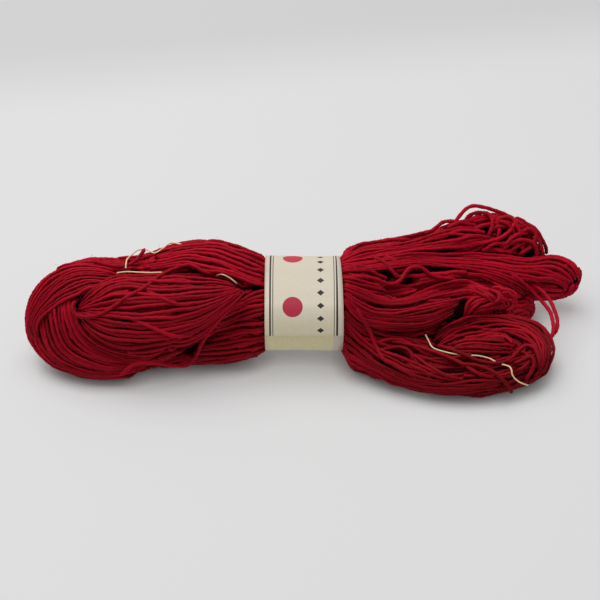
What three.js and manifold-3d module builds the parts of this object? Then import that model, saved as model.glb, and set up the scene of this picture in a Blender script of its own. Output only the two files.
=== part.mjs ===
// A hank of hand-dyed yarn, wound, twisted over itself and held round its middle by a paper band.
// Millimetres, +Z up. The hank lies on a table along X, and the origin is under the middle of its box.
import * as THREE from "three";
import Module from "manifold-3d";
import { mergeVertices } from "three/addons/utils/BufferGeometryUtils.js";

// ---- Driving dimensions -------------------------------------------------------------------
const YARN = 2.5; // thickness of the yarn
const TIE = 0.8; // thickness of the thread that ties the hank
const GAP = 0.3; // between pieces that touch
const WAIST = { tall: 23.3, deep: 26, height: 31 }; // half sizes of the hank under its band, and its middle
const BAND = { middle: 1, width: 40, paper: 1, seam: -4, overlap: 42, every: 6 }; // angles in degrees, up from the front
const LOCKS = { sides: 24, flute: 0.05, step: 10, dome: 11 }; // ridges of yarn round a bundle, and its sections
const TUBE = { strandSides: 6, strandStep: 5, cordSides: 8, cordStep: 2.5 }; // a cord's step is in thicknesses
const ROOM = 600; // larger than the hank each way
const DRUM_SIDES = 64; // facets of the oval that the band holds the hank to
const ORIGIN = new THREE.Vector3(2.31, 10.51, 0); // the middle of its box, from the middle of the band

const wasm = await Module();
wasm.setup();

// ---- Tables -------------------------------------------------------------------------------
// A row is a section of a bundle: its centre, measured from the middle of the band and from the
// table, its half sizes across and deep, and how far its deep side is turned up from the front.
const SECTION = ["x", "y", "z", "across", "deep", "face"];
const table = (columns, rows) => rows.map((row) => Object.fromEntries(columns.map((c, i) => [c, row[i]])));

const BUNDLES = {
  waist: table(SECTION, [
    [-42, -2, 29, 15, 18, 0],
    [-24, 0, 31, 23, 25, 0],
    [-10, 0, 31, 25, 28, 0],
    [10, 0, 31, 25, 28, 0],
    [24, 1, 30, 23, 25, 0],
    [46, 6, 26, 16, 21, 0],
  ]),
  frontPly: table(SECTION, [
    [-16, -4, 37, 10, 12, 35],
    [-28, -10, 42, 6, 8, 35],
    [-34, -12, 43, 8, 10, 35],
    [-43, -14, 42, 13, 13, 35],
    [-54, -15, 38, 18, 15, 35],
    [-67, -16, 35, 21, 17, 35],
    [-81, -16, 32, 23, 18, 35],
    [-95, -15, 31, 21, 18, 35],
    [-106, -12, 31, 17, 16, 35],
    [-115, -6, 33, 12, 14, 38],
    [-119, 4, 34, 10, 12, 45],
  ]),
  crossPly: table(SECTION, [
    [-14, -4, 25, 14, 16, 35],
    [-30, -6, 19, 16.5, 16, 35],
    [-46, -8, 16, 16, 15, 35],
    [-60, -9, 14, 14, 14, 35],
    [-74, 0, 16, 13, 14, 35],
    [-84, 12, 25, 12, 13, 38],
    [-90, 14, 37, 9, 10, 45],
    [-97, 11, 45, 6, 7, 50],
    [-105, 8, 46, 8, 7, 50],
    [-114, 4, 44, 11, 8, 48],
    [-123, 0, 39.5, 14, 9, 45],
    [-130.5, -3, 33, 15.5, 9, 42],
    [-136, -5, 25, 14, 10, 38],
    [-137, -6, 16.5, 11.5, 12, 30],
    [-132, -6, 9, 8.5, 13, 20],
  ]),
  underPly: table(SECTION, [
    [-133, -2, 24, 12, 13, 0],
    [-130, -10, 17, 12, 12, 30],
    [-122, -17, 14, 13, 12, 40],
    [-108, -21, 12, 13, 12, 40],
    [-92, -21, 11, 12, 11.5, 40],
    [-76, -16, 11, 11, 10.5, 40],
    [-60, -12, 13, 11, 10.5, 40],
    [-42, -9, 17, 12, 12, 40],
    [-26, -6, 22, 13.5, 13.5, 40],
  ]),
  backPly: table(SECTION, [
    [-132, 6, 23, 12, 13, 0],
    [-126, 17, 22, 14, 13, 0],
    [-113, 24, 22, 16, 13, 0],
    [-97, 25, 24, 17, 13, 0],
    [-79, 22, 27, 17, 13, 0],
    [-60, 17, 29, 17, 13, 0],
    [-40, 11, 30, 17, 14, 0],
    [-20, 5, 31, 17, 16, 0],
  ]),
  topPly: table(SECTION, [
    [-106, 16, 32, 12, 13, 60],
    [-94, 15, 37, 12, 13, 60],
    [-83, 11, 40, 13, 13, 60],
    [-71, 10, 43, 14, 15, 60],
    [-59, 10, 46, 15, 16, 60],
    [-47, 8, 47, 15, 17, 60],
    [-34, 5, 45, 15, 17, 60],
    [-22, 2, 42, 14, 16, 60],
    [-10, 1, 38, 14, 16, 60],
  ]),
  bunCore: table(SECTION, [
    [-136, 4, 24, 15, 18, 0],
    [-127, 3, 25, 22, 26, 0],
    [-114, 2, 25, 27, 30, 0],
    [-98, 2, 25, 27, 29, 0],
    [-82, 2, 24, 21, 22, 0],
  ]),
  backLobe: table(SECTION, [
    [14, 10, 33, 16, 13, 0],
    [36, 21, 33, 20, 14, 0],
    [53, 27, 31, 22, 15, 0],
    [69, 34, 29, 23, 15, 0],
    [84, 43, 28, 25, 15, 0],
    [97, 50, 27, 26, 16, 0],
    [110, 52, 26, 25, 16, 0],
    [121, 52, 23, 21, 15, 0],
    [131, 50, 16, 14, 12, 0],
  ]),
  middleLobe: table(SECTION, [
    [14, 4, 37, 14, 16, 0],
    [39, 12, 35, 15, 15, 0],
    [53, 16, 33, 14, 14, 0],
    [69, 22, 31, 13.5, 13, 0],
    [86, 28, 28, 13, 13, 0],
    [103, 33, 25, 12.5, 12.5, 0],
    [119, 37, 22.5, 12, 12, 0],
    [136, 40, 20, 12, 12, 0],
    [154, 41, 19, 11, 11, 0],
  ]),
  smallLobe: table(SECTION, [
    [12, -6, 30, 14, 16, 20],
    [30, -9, 29, 14, 14, 20],
    [52, -8, 26, 12, 12, 20],
    [69, -3, 26, 11, 11, 20],
    [85, 3, 26, 9, 9, 20],
    [101, 8, 27, 7, 8, 20],
    [115, 10, 25, 6, 7, 20],
  ]),
  frontLoop: table(SECTION, [
    [12, -6, 24, 12, 12, 60],
    [38, -13, 18, 10, 10, 90],
    [57, -13, 15, 9, 10, 90],
    [72, -8, 14, 8.5, 10, 90],
    [87, 0, 14, 8.5, 10, 90],
    [101, 3, 13, 9, 10, 90],
    [113, 0, 12, 9, 10, 90],
    [123, -9, 11, 9, 10, 90],
    [124, -21, 10, 9, 9.5, 90],
    [116, -30.5, 9.5, 9, 9.5, 90],
    [101, -36, 8.5, 9.5, 8.5, 90],
    [85, -37, 8.5, 10, 8.5, 90],
    [70, -36, 8.5, 10, 8.5, 90],
    [56, -31.5, 9.5, 10, 9.5, 90],
    [42, -25, 12, 10.5, 10.5, 90],
    [26, -16, 14.5, 11.5, 12, 90],
    [12, -10, 24, 12, 12, 60],
  ]),
  lowFill: table(SECTION, [
    [16, -8, 20, 14, 14, 90],
    [42, -14, 12, 14, 11, 90],
    [66, -21, 10, 16, 10.5, 90],
    [90, -19, 9.5, 18, 11, 90],
    [106, -17, 8.5, 17, 10, 90],
    [120, -15, 7, 12, 8, 90],
  ]),
  underFill: table(SECTION, [
    [14, 2, 24, 18, 20, 0],
    [50, 10, 16, 17, 18, 0],
    [80, 18, 12, 14, 18, 0],
    [110, 28, 10, 11, 14, 0],
    [128, 34, 9, 9.6, 11, 0],
  ]),
};

// Slack strands that stand away from the bundles.
const POINT = ["x", "y", "z"];
const STRANDS = {
  crownLoop: table(POINT, [
    [76, 38, 46],
    [81, 42, 51.5],
    [86, 45, 58],
    [92, 50, 60],
    [101, 52, 57.5],
    [109, 54, 53],
    [117, 54, 49],
  ]),
  endLoop: table(POINT, [
    [108, 36, 31],
    [122, 30, 25],
    [132, 22, 21],
    [136, 12, 18],
    [137, 2, 14],
    [130, -8, 12],
    [120, -12, 12],
  ]),
  slackLoop: table(POINT, [
    [-31, -17, 47],
    [-36, -23.5, 45],
    [-42, -27.6, 40],
    [-47.5, -29.6, 33],
    [-51.5, -28, 24],
    [-54.5, -25.5, 16],
    [-59, -26.5, 10],
    [-66, -29.3, 7.5],
    [-74, -31.5, 8.5],
    [-82, -33.5, 10],
    [-92, -34, 9],
  ]),
};

// Free threads and yarn ends, along their middles.
const CORDS = {
  tie_left: {
    thick: TIE,
    finish: "thread",
    rows: table(POINT, [
      [-96, -2.6, 51.9],
      [-91, -0.4, 51.1],
      [-84.5, -0.8, 51],
      [-78, -1.8, 51.5],
      [-73, -2.2, 51.9],
      [-69, -1, 50],
      [-66, 2, 46],
    ]),
  },
  tie_knot: {
    thick: TIE,
    finish: "thread",
    rows: table(POINT, [
      [-91.6, 0.6, 52.7],
      [-91.4, 4.2, 54.8],
      [-91, 9, 53.4],
      [-89.4, 14, 52.4],
      [-86, 16, 54],
      [-81.5, 15.5, 54.4],
      [-77, 8.5, 57],
      [-73, 11, 58],
      [-69, 14, 59.6],
      [-65, 12, 60.6],
      [-61, 10, 60.5],
    ]),
  },
  tie_middle: {
    thick: TIE,
    finish: "thread",
    rows: table(POINT, [
      [-52, 2, 46],
      [-46, -5, 51],
      [-41.9, -8.2, 54.9],
      [-37.5, -9.3, 53.7],
      [-33.5, -10.6, 50.8],
      [-30.5, -8, 46],
      [-28, -3, 41],
    ]),
  },
  tie_right: {
    thick: TIE,
    finish: "thread",
    rows: table(POINT, [
      [64.8, -17.1, 22.8],
      [66.1, -20, 21.4],
      [68.3, -25.4, 20.4],
      [74.4, -28.2, 19.7],
      [80.6, -29.4, 19.1],
      [85.9, -29.6, 18.5],
      [91.2, -29.4, 18.2],
      [97.2, -30.3, 17.2],
      [101.4, -33.6, 16.7],
      [106.7, -37.3, 17.3],
      [107.9, -39.6, 16.7],
      [108.3, -41.3, 14.9],
      [110.3, -42.4, 12.5],
      [113.6, -42, 9.9],
      [117.1, -39.5, 6.8],
    ]),
  },
  end_top: {
    thick: YARN,
    finish: "yarn",
    rows: table(POINT, [
      [-109, 4.6, 54.6],
      [-106, 4, 54],
      [-101, 3.4, 52.8],
      [-95.5, 3.2, 52.2],
      [-90.5, 4.4, 52.2],
      [-86.5, 7, 53.6],
      [-83.8, 9.6, 55.8],
      [-82, 11.2, 58.4],
    ]),
  },
  end_front: {
    thick: YARN,
    finish: "yarn",
    rows: table(POINT, [
      [82, -37.2, 18.4],
      [88, -37.5, 18.4],
      [94, -39.4, 18],
      [100, -42.4, 16.2],
      [104.5, -44.9, 12.6],
      [107, -45, 8.8],
      [108.5, -44, 4.9],
    ]),
  },
};

// ---- Shapes -------------------------------------------------------------------------------
// A smooth line through the rows' centres, with the section sizes in step with it.
function along(rows) {
  const spline = (pick) => new THREE.CatmullRomCurve3(rows.map(pick), false, "catmullrom", 0.5);
  return {
    centre: spline((r) => new THREE.Vector3(r.x, r.y, r.z)),
    size: spline((r) => new THREE.Vector3(r.across, r.deep, r.face)),
  };
}

// A closed loft of fluted oval sections with domed ends.
function loft(rows) {
  const { centre, size } = along(rows);
  const long = centre.getLength();
  const { sides, dome } = LOCKS;
  // Sections crowd into each domed end, and are evenly spaced between.
  const domed = [0.01, 0.12, 0.45].map((share) => share * dome);
  const even = Math.round((long - 2 * dome) / LOCKS.step);
  const between = Array.from({ length: even + 1 }, (_, i) => dome + ((long - 2 * dome) * i) / even);
  const places = [...domed, ...between, ...domed.map((place) => long - place).reverse()];
  const steps = places.length - 1;
  const points = [];
  const index = [];
  for (const place of places) {
    const t = centre.getUtoTmapping(place / long);
    const c = centre.getPoint(t);
    const s = size.getPoint(t);
    const ahead = centre.getTangent(t);
    const face = THREE.MathUtils.degToRad(s.z);
    const out = new THREE.Vector3(0, -Math.cos(face), Math.sin(face));
    out.addScaledVector(ahead, -out.dot(ahead)).normalize();
    const side = new THREE.Vector3().crossVectors(ahead, out).normalize();
    const edge = Math.min(place, long - place, dome) / dome;
    const swell = Math.sqrt(1 - (1 - edge) ** 2);
    for (let j = 0; j < sides; j++) {
      const a = (2 * Math.PI * j) / sides;
      const r = swell * (j % 2 ? 1 - LOCKS.flute : 1);
      const p = c.clone().addScaledVector(side, s.x * r * Math.cos(a)).addScaledVector(out, s.y * r * Math.sin(a));
      points.push(p.x, p.y, p.z);
    }
  }
  const ring = (i, j) => i * sides + (j % sides);
  for (let i = 0; i < steps; i++)
    for (let j = 0; j < sides; j++) {
      index.push(ring(i, j), ring(i + 1, j), ring(i, j + 1));
      index.push(ring(i, j + 1), ring(i + 1, j), ring(i + 1, j + 1));
    }
  for (let j = 1; j < sides - 1; j++) {
    index.push(ring(0, 0), ring(0, j), ring(0, j + 1));
    index.push(ring(steps, 0), ring(steps, j + 1), ring(steps, j));
  }
  return solid(points, index);
}

function solid(points, index) {
  const mesh = { numProp: 3, vertProperties: new Float32Array(points), triVerts: new Uint32Array(index) };
  return new wasm.Manifold(new wasm.Mesh(mesh));
}

function solidOf(geometry) {
  const bare = geometry.clone();
  bare.deleteAttribute("normal");
  bare.deleteAttribute("uv");
  const merged = mergeVertices(bare, 1e-4);
  return solid(merged.attributes.position.array, merged.index.array);
}

function meshOf(name, made, material) {
  const { vertProperties, triVerts } = made.getMesh();
  const geometry = new THREE.BufferGeometry()
    .setAttribute("position", new THREE.BufferAttribute(new Float32Array(vertProperties), 3))
    .setIndex(new THREE.BufferAttribute(new Uint32Array(triVerts), 1));
  geometry.computeVertexNormals();
  const mesh = new THREE.Mesh(geometry, material);
  mesh.name = name;
  return mesh;
}

// A tube of the given thickness along a smooth line through the rows.
function tube(rows, thick, sides, every) {
  const path = new THREE.CatmullRomCurve3(rows.map((r) => new THREE.Vector3(r.x, r.y, r.z)));
  const corner = (j) => (2 * Math.PI * (j + 0.5)) / sides;
  const section = Array.from({ length: sides }, (_, j) => {
    return new THREE.Vector2(Math.cos(corner(j)), Math.sin(corner(j))).multiplyScalar(thick / 2);
  });
  const steps = Math.max(4, Math.round(path.getLength() / every));
  return new THREE.ExtrudeGeometry(new THREE.Shape(section), { steps, extrudePath: path });
}

// A free thread or yarn end, or the groove with some room round it that it lies in.
function cordTube({ rows, thick }, room = 0) {
  return tube(rows, thick + 2 * room, TUBE.cordSides, TUBE.cordStep * thick);
}

// An oval drum along X, centred on the waist.
function drum(half, deep, tall) {
  const round = new THREE.CylinderGeometry(1, 1, 2 * half, DRUM_SIDES);
  round.rotateZ(Math.PI / 2).scale(1, deep, tall);
  return solidOf(round.translate(BAND.middle, 0, WAIST.height));
}

// The paper band: a flat oval ring whose end laps over its start, at the front.
function bandSolid() {
  const turns = [];
  for (let d = 0; d < 360 - BAND.every / 2; d += BAND.every) turns.push(d);
  turns.push(359); // one degree on from here the lapped end steps out by a thickness
  const points = [];
  for (const d of turns) {
    const a = THREE.MathUtils.degToRad(BAND.seam + d);
    const paper = d < BAND.overlap ? 2 * BAND.paper : BAND.paper;
    for (const [side, proud] of [[-1, GAP], [-1, GAP + paper], [1, GAP + paper], [1, GAP]]) {
      const y = -(WAIST.deep + proud) * Math.cos(a);
      points.push(BAND.middle + (side * BAND.width) / 2, y, WAIST.height + (WAIST.tall + proud) * Math.sin(a));
    }
  }
  const corner = (i, j) => (i % turns.length) * 4 + (j % 4);
  const index = turns.flatMap((_, i) =>
    [0, 1, 2, 3].flatMap((j) => [
      corner(i, j), corner(i, j + 1), corner(i + 1, j),
      corner(i, j + 1), corner(i + 1, j + 1), corner(i + 1, j),
    ]),
  );
  return solid(points, index);
}

// ---- The hank -----------------------------------------------------------------------------
// All the bundles and slack strands in one, trimmed to its band, its ties and the table.
function hankSolid() {
  const bundles = Object.values(BUNDLES).map((rows) => loft(rows));
  const strands = Object.values(STRANDS).map((rows) => {
    return solidOf(tube(rows, YARN, TUBE.strandSides, TUBE.strandStep));
  });
  const whole = [...bundles, ...strands].reduce((a, b) => a.add(b));
  const beside = BAND.width / 2 + GAP;
  const block = new THREE.BoxGeometry(2 * beside, ROOM, ROOM).translate(BAND.middle, 0, 0);
  const collar = solidOf(block).subtract(drum(beside + 1, WAIST.deep, WAIST.tall));
  const below = solidOf(new THREE.BoxGeometry(ROOM, ROOM, ROOM).translate(0, 0, -ROOM / 2));
  const grooves = Object.values(CORDS).map((cord) => solidOf(cordTube(cord, GAP)));
  const cut = [collar, below, ...grooves].reduce((made, tool) => made.subtract(tool), whole);
  // Hollows that are shut in between the bundles are left full.
  return cut.decompose().reduce((a, b) => (b.volume() > a.volume() ? b : a));
}

const FINISH = {
  yarn: new THREE.MeshStandardMaterial({ color: 0x8e1220, roughness: 0.75, metalness: 0 }),
  paper: new THREE.MeshStandardMaterial({ color: 0xcfc6b4, roughness: 0.85, metalness: 0 }),
  thread: new THREE.MeshStandardMaterial({ color: 0xc99a52, roughness: 0.6, metalness: 0 }),
};

const group = new THREE.Group();
group.position.copy(ORIGIN).negate();
group.add(meshOf("hank", hankSolid(), FINISH.yarn));
group.add(meshOf("paper_band", bandSolid(), FINISH.paper));
for (const [name, cord] of Object.entries(CORDS)) {
  const mesh = new THREE.Mesh(cordTube(cord), FINISH[cord.finish]);
  mesh.name = name;
  group.add(mesh);
}
export default group;
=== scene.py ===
"""A hank of hand-dyed yarn held round its middle by a paper band.

The yarn is wound strand by strand over the form of its solid: plies whose strands run from end to
end and lobes whose strands turn back at their far end. Combed sheets and single strands lie over
them where the hank is seen from the front.
"""

import logging
import math
from collections.abc import Iterable
from dataclasses import dataclass, field
from enum import Enum
from functools import reduce

import bmesh
import bpy
import numpy as np
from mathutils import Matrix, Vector
from mathutils.bvhtree import BVHTree
from mathutils.kdtree import KDTree


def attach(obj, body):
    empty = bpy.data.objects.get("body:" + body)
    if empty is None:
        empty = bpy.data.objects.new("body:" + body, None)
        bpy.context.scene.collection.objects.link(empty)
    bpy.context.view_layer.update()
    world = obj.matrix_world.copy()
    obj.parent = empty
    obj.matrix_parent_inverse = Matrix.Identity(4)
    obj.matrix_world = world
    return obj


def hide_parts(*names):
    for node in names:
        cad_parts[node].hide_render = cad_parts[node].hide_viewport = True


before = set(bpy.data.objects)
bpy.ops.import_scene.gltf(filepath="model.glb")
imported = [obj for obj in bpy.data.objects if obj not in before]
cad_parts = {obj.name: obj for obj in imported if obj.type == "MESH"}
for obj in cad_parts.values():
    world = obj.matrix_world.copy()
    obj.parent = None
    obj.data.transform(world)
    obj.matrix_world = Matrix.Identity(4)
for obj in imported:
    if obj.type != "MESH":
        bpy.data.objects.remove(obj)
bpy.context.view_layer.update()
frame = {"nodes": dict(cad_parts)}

MM = 0.001
UV_MAP = "UVMap"
FLOAT = "NodeSocketFloat"
ORIGIN = np.array((2.31, 10.51, 0.0))  # the middle of the box, in mm from the middle of the band
YARN = 2.5  # thickness of the yarn, mm
TIE = 0.8  # thickness of the tie thread, mm
WAIST_TALL, WAIST_DEEP = 23.3, 26.0  # half the height and depth of the waist, mm
WAIST_HEIGHT = 31.0  # height of the waist's middle, mm
BAND_WIDTH, BAND_MIDDLE = 40.0, 1.0  # along the hank, mm
BAND_FILL = 0.925  # share of the band's inside that the strands' middle lines may reach
BAND_FLARE = 0.1  # how much that share grows for each mm past the band
BAND_EDGE = 0.3  # where that growth starts, mm past the band's edge
SURFACE = 0.42  # from a strand's middle line to its surface, in thicknesses of the yarn
OCTAVES = (0.62, 0.3, 0.14)  # strength of a sway's longest wave and of two finer ones
GRID_MIDDLE = 300  # steps from the top left corner of the guides' grid to the middle of the view
GRID_STEP = 0.54  # a step in the plane of view, mm
GRID_ROUND = 0.5  # what a guide's places are rounded to, mm
LEFT_OF_BAND, RIGHT_OF_BAND = (262, 270), (333, 345)  # where guides that meet the band stop, in steps
UNDER_LEFT, UNDER_RIGHT = 9, 10  # how far such a guide runs on under the band, in steps
UNDER_SLOPE = 0.4  # share of its first rise that it keeps there, from the right
LOG = logging.getLogger("hank")

Array = np.ndarray
Node = bpy.types.Node
Object = bpy.types.Object
Material = bpy.types.Material
NodeTree = bpy.types.NodeTree
Socket = bpy.types.NodeSocket
Colour = tuple[float, float, float, float]
Line = list[tuple[float, ...]]


# ---- Sizes of the bundles, as in the solids -------------------------------------------------


class Flow(Enum):
    """How the strands of a bundle run."""

    PLY = "from end to end"
    LOBE = "out along one side, round the far end and back along the other"


@dataclass
class Bundle:
    """One bundle of the hank.

    rows: sections as (x, y, z, across, deep, face), in mm from the middle of the band, and degrees.
    wander, lift: how far its strands stray along its surface, and in and out, mm.
    layers: how many strands deep it is wound.
    spacing: from one strand to the next, mm.
    turn: how far its strands twist round it from end to end, degrees.
    """

    name: str
    rows: Line
    flow: Flow = Flow.PLY
    wander: float = 1.2
    lift: float = 0.5
    layers: int = 2
    spacing: float = 2.35
    turn: float = 0.0

    @property
    def seed(self) -> list[int]:
        """Numbers that give this bundle its own random draws."""
        return [len(self.name), int(Track(self.rows).long)]


BUNDLES = [
    Bundle("waist", [
        (-42, -2, 29, 15, 18, 0),
        (-24, 0, 31, 23, 25, 0),
        (-10, 0, 31, 25, 28, 0),
        (10, 0, 31, 25, 28, 0),
        (24, 1, 30, 23, 25, 0),
        (46, 6, 26, 16, 21, 0),
    ]),
    Bundle("frontPly", [
        (-16, -4, 37, 10, 12, 35),
        (-28, -10, 42, 6, 8, 35),
        (-34, -12, 43, 8, 10, 35),
        (-43, -14, 42, 13, 13, 35),
        (-54, -15, 38, 18, 15, 35),
        (-67, -16, 35, 21, 17, 35),
        (-81, -16, 32, 23, 18, 35),
        (-95, -15, 31, 21, 18, 35),
        (-106, -12, 31, 17, 16, 35),
        (-115, -6, 33, 12, 14, 38),
        (-119, 4, 34, 10, 12, 45),
    ], wander=1.4),
    Bundle("crossPly", [
        (-14, -4, 25, 14, 16, 35),
        (-30, -6, 19, 16.5, 16, 35),
        (-46, -8, 16, 16, 15, 35),
        (-60, -9, 14, 14, 14, 35),
        (-74, 0, 16, 13, 14, 35),
        (-84, 12, 25, 12, 13, 38),
        (-90, 14, 37, 9, 10, 45),
        (-97, 11, 45, 6, 7, 50),
        (-105, 8, 46, 8, 7, 50),
        (-114, 4, 44, 11, 8, 48),
        (-123, 0, 39.5, 14, 9, 45),
        (-129, -3, 33, 15.5, 9, 42),
        (-133.5, -5, 25, 14, 10, 38),
        (-134.5, -6, 16.5, 11.5, 12, 30),
        (-130, -6, 9, 8.5, 13, 20),
    ], wander=1.0),
    Bundle("underPly", [
        (-133, -2, 24, 12, 13, 0),
        (-130, -10, 17, 12, 12, 30),
        (-122, -17, 14, 13, 12, 40),
        (-108, -21, 12, 13, 12, 40),
        (-92, -21, 11, 12, 11.5, 40),
        (-76, -16, 11, 11, 10.5, 40),
        (-60, -12, 13, 11, 10.5, 40),
        (-42, -9, 17, 12, 12, 40),
        (-26, -6, 22, 13.5, 13.5, 40),
    ]),
    Bundle("backPly", [
        (-132, 6, 23, 12, 13, 0),
        (-126, 17, 22, 14, 13, 0),
        (-113, 24, 22, 16, 13, 0),
        (-97, 25, 24, 17, 13, 0),
        (-79, 22, 27, 17, 13, 0),
        (-60, 17, 29, 17, 13, 0),
        (-40, 11, 30, 17, 14, 0),
        (-20, 5, 31, 17, 16, 0),
    ]),
    Bundle("topPly", [
        (-106, 16, 32, 12, 13, 60),
        (-94, 15, 37, 12, 13, 60),
        (-83, 11, 40, 13, 13, 60),
        (-71, 10, 43, 14, 15, 60),
        (-59, 10, 46, 15, 16, 60),
        (-47, 8, 47, 15, 17, 60),
        (-34, 5, 45, 15, 17, 60),
        (-22, 2, 42, 14, 16, 60),
        (-10, 1, 38, 14, 16, 60),
    ], turn=25),
    Bundle("bunCore", [
        (-134, 4, 24, 14, 17, 0),
        (-127, 3, 25, 22, 26, 0),
        (-114, 2, 25, 27, 30, 0),
        (-98, 2, 25, 27, 29, 0),
        (-82, 2, 24, 21, 22, 0),
    ], turn=-60),
    Bundle("backLobe", [
        (14, 10, 33, 16, 13, 0),
        (36, 21, 33, 20, 14, 0),
        (53, 27, 31, 22, 15, 0),
        (69, 34, 29, 23, 15, 0),
        (84, 43, 28, 25, 15, 0),
        (97, 50, 27, 26, 16, 0),
        (110, 52, 26, 25, 16, 0),
        (121, 52, 23, 21, 15, 0),
        (131, 50, 16, 14, 12, 0),
    ], Flow.LOBE, wander=2.8, lift=1.3),
    Bundle("middleLobe", [
        (14, 4, 37, 14, 16, 0),
        (39, 12, 35, 15, 15, 0),
        (53, 16, 33, 14, 14, 0),
        (69, 22, 31, 13.5, 13, 0),
        (86, 28, 28, 13, 13, 0),
        (103, 33, 25, 12.5, 12.5, 0),
        (119, 37, 22.5, 12, 12, 0),
        (136, 40, 20, 12, 12, 0),
        (154, 41, 19, 11, 11, 0),
    ], Flow.LOBE, wander=1.8, lift=0.9),
    Bundle("smallLobe", [
        (12, -6, 30, 14, 16, 20),
        (30, -9, 29, 14, 14, 20),
        (52, -8, 26, 12, 12, 20),
        (69, -3, 26, 11, 11, 20),
        (85, 3, 26, 9, 9, 20),
        (101, 8, 27, 7, 8, 20),
        (115, 10, 25, 6, 7, 20),
    ], Flow.LOBE, wander=1.8, lift=0.9),
    Bundle("frontLoop", [
        (12, -6, 24, 12, 12, 60),
        (38, -13, 18, 10, 10, 90),
        (57, -13, 15, 9, 10, 90),
        (72, -8, 14, 8.5, 10, 90),
        (87, 0, 14, 8.5, 10, 90),
        (101, 3, 13, 9, 10, 90),
        (113, 0, 12, 9, 10, 90),
        (123, -9, 11, 9, 10, 90),
        (124, -21, 10, 9, 9.5, 90),
        (116, -30.5, 9.5, 9, 9.5, 90),
        (101, -36, 8.5, 9.5, 8.5, 90),
        (85, -37, 8.5, 10, 8.5, 90),
        (70, -36, 8.5, 10, 8.5, 90),
        (56, -31.5, 9.5, 10, 9.5, 90),
        (42, -25, 12, 10.5, 10.5, 90),
        (26, -16, 14.5, 11.5, 12, 90),
        (12, -10, 24, 12, 12, 60),
    ], wander=2.2, lift=1.0),
    Bundle("lowFill", [
        (16, -8, 20, 14, 14, 90),
        (42, -14, 12, 14, 11, 90),
        (66, -21, 10, 16, 10.5, 90),
        (90, -19, 9.5, 18, 11, 90),
        (106, -17, 8.5, 17, 10, 90),
        (120, -15, 7, 12, 8, 90),
    ], Flow.LOBE, wander=2.4, lift=1.2),
    Bundle("underFill", [
        (14, 2, 24, 18, 20, 0),
        (50, 10, 16, 17, 18, 0),
        (80, 18, 12, 14, 18, 0),
        (110, 28, 10, 11, 14, 0),
        (128, 34, 9, 9.6, 11, 0),
    ], Flow.LOBE, wander=2.0, lift=0.8),
]

# Slack strands that stand away from the bundles, mm. The last hangs higher than in the solid.
SLACK = {
    "crownLoop": [(76, 38, 46), (81, 42, 51.5), (86, 45, 58), (92, 50, 60), (101, 52, 57.5), (109, 54, 53),
        (117, 54, 49)],
    "endLoop": [(108, 36, 31), (122, 30, 25), (132, 22, 21), (136, 12, 18), (137, 2, 14), (130, -8, 12),
        (120, -12, 12)],
    "slackLoop": [(-31, -17, 47), (-36, -23.5, 45), (-42, -27.6, 40), (-47.5, -29.6, 33),
        (-52, -28.5, 24.5), (-54.5, -28.5, 18), (-59, -31, 13.5), (-66, -33.5, 14.5), (-74, -35.5, 17.5),
        (-82, -36.5, 19), (-88, -37, 17), (-94, -36.5, 10.5)],
}

# Free threads and yarn ends, as in the solids, mm.
TIES = {
    "tie_left": [(-96, -2.6, 51.9), (-91, -0.4, 51.1), (-84.5, -0.8, 51), (-78, -1.8, 51.5),
        (-73, -2.2, 51.9), (-69, -1, 50), (-66, 2, 46)],
    "tie_knot": [(-91.6, 0.6, 52.7), (-91.4, 4.2, 54.8), (-91, 9, 53.4), (-89.4, 14, 52.4), (-86, 16, 54),
        (-81.5, 15.5, 54.4), (-77, 8.5, 57), (-73, 11, 58), (-69, 14, 59.6), (-65, 12, 60.6),
        (-61, 10, 60.5)],
    "tie_middle": [(-52, 2, 46), (-46, -5, 51), (-41.9, -8.2, 54.9), (-37.5, -9.3, 53.7),
        (-33.5, -10.6, 50.8), (-30.5, -8, 46), (-28, -3, 41)],
    "tie_right": [(64.8, -17.1, 22.8), (66.1, -20, 21.4), (68.3, -25.4, 20.4), (74.4, -28.2, 19.7),
        (80.6, -29.4, 19.1), (85.9, -29.6, 18.5), (91.2, -29.4, 18.2), (97.2, -30.3, 17.2),
        (101.4, -33.6, 16.7), (106.7, -37.3, 17.3), (107.9, -39.6, 16.7), (108.3, -41.3, 14.9),
        (110.3, -42.4, 12.5), (113.6, -42, 9.9), (117.1, -39.5, 6.8)],
}
YARN_ENDS = {
    "end_top": [(-109, 4.6, 54.6), (-106, 4, 54), (-101, 3.4, 52.8), (-95.5, 3.2, 52.2), (-90.5, 4.4, 52.2),
        (-86.5, 7, 53.6), (-83.8, 9.6, 55.8), (-82, 11.2, 58.4)],
    "end_front": [(82, -37.2, 18.4), (88, -37.5, 18.4), (94, -39.4, 18), (100, -42.4, 16.2),
        (104.5, -44.9, 12.6), (107, -45, 8.8), (108.5, -44, 4.9)],
}


# ---- Combed strands, in the plane of view ---------------------------------------------------


@dataclass(frozen=True)
class Comb:
    """A sheet of strands that lies over the bundles, seen from the camera.

    guides: lines that the strands follow, in steps right and down from the top
    left corner of a grid over the view; a third number lifts a place on its own, mm.
    tuck: how deep the strands dive at their start and at their end, mm.
    lift: how far they stand off the bundles, mm.
    stray: how far they wander sideways, in spaces between strands.
    """

    name: str
    count: int
    tuck: tuple[float, float]
    lift: float
    stray: float
    guides: list[Line]

    def lines(self) -> list[Line]:
        """The guides in mm, with those that meet the band run on under it."""
        return [in_view(under_band(guide)) for guide in self.guides]


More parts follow.
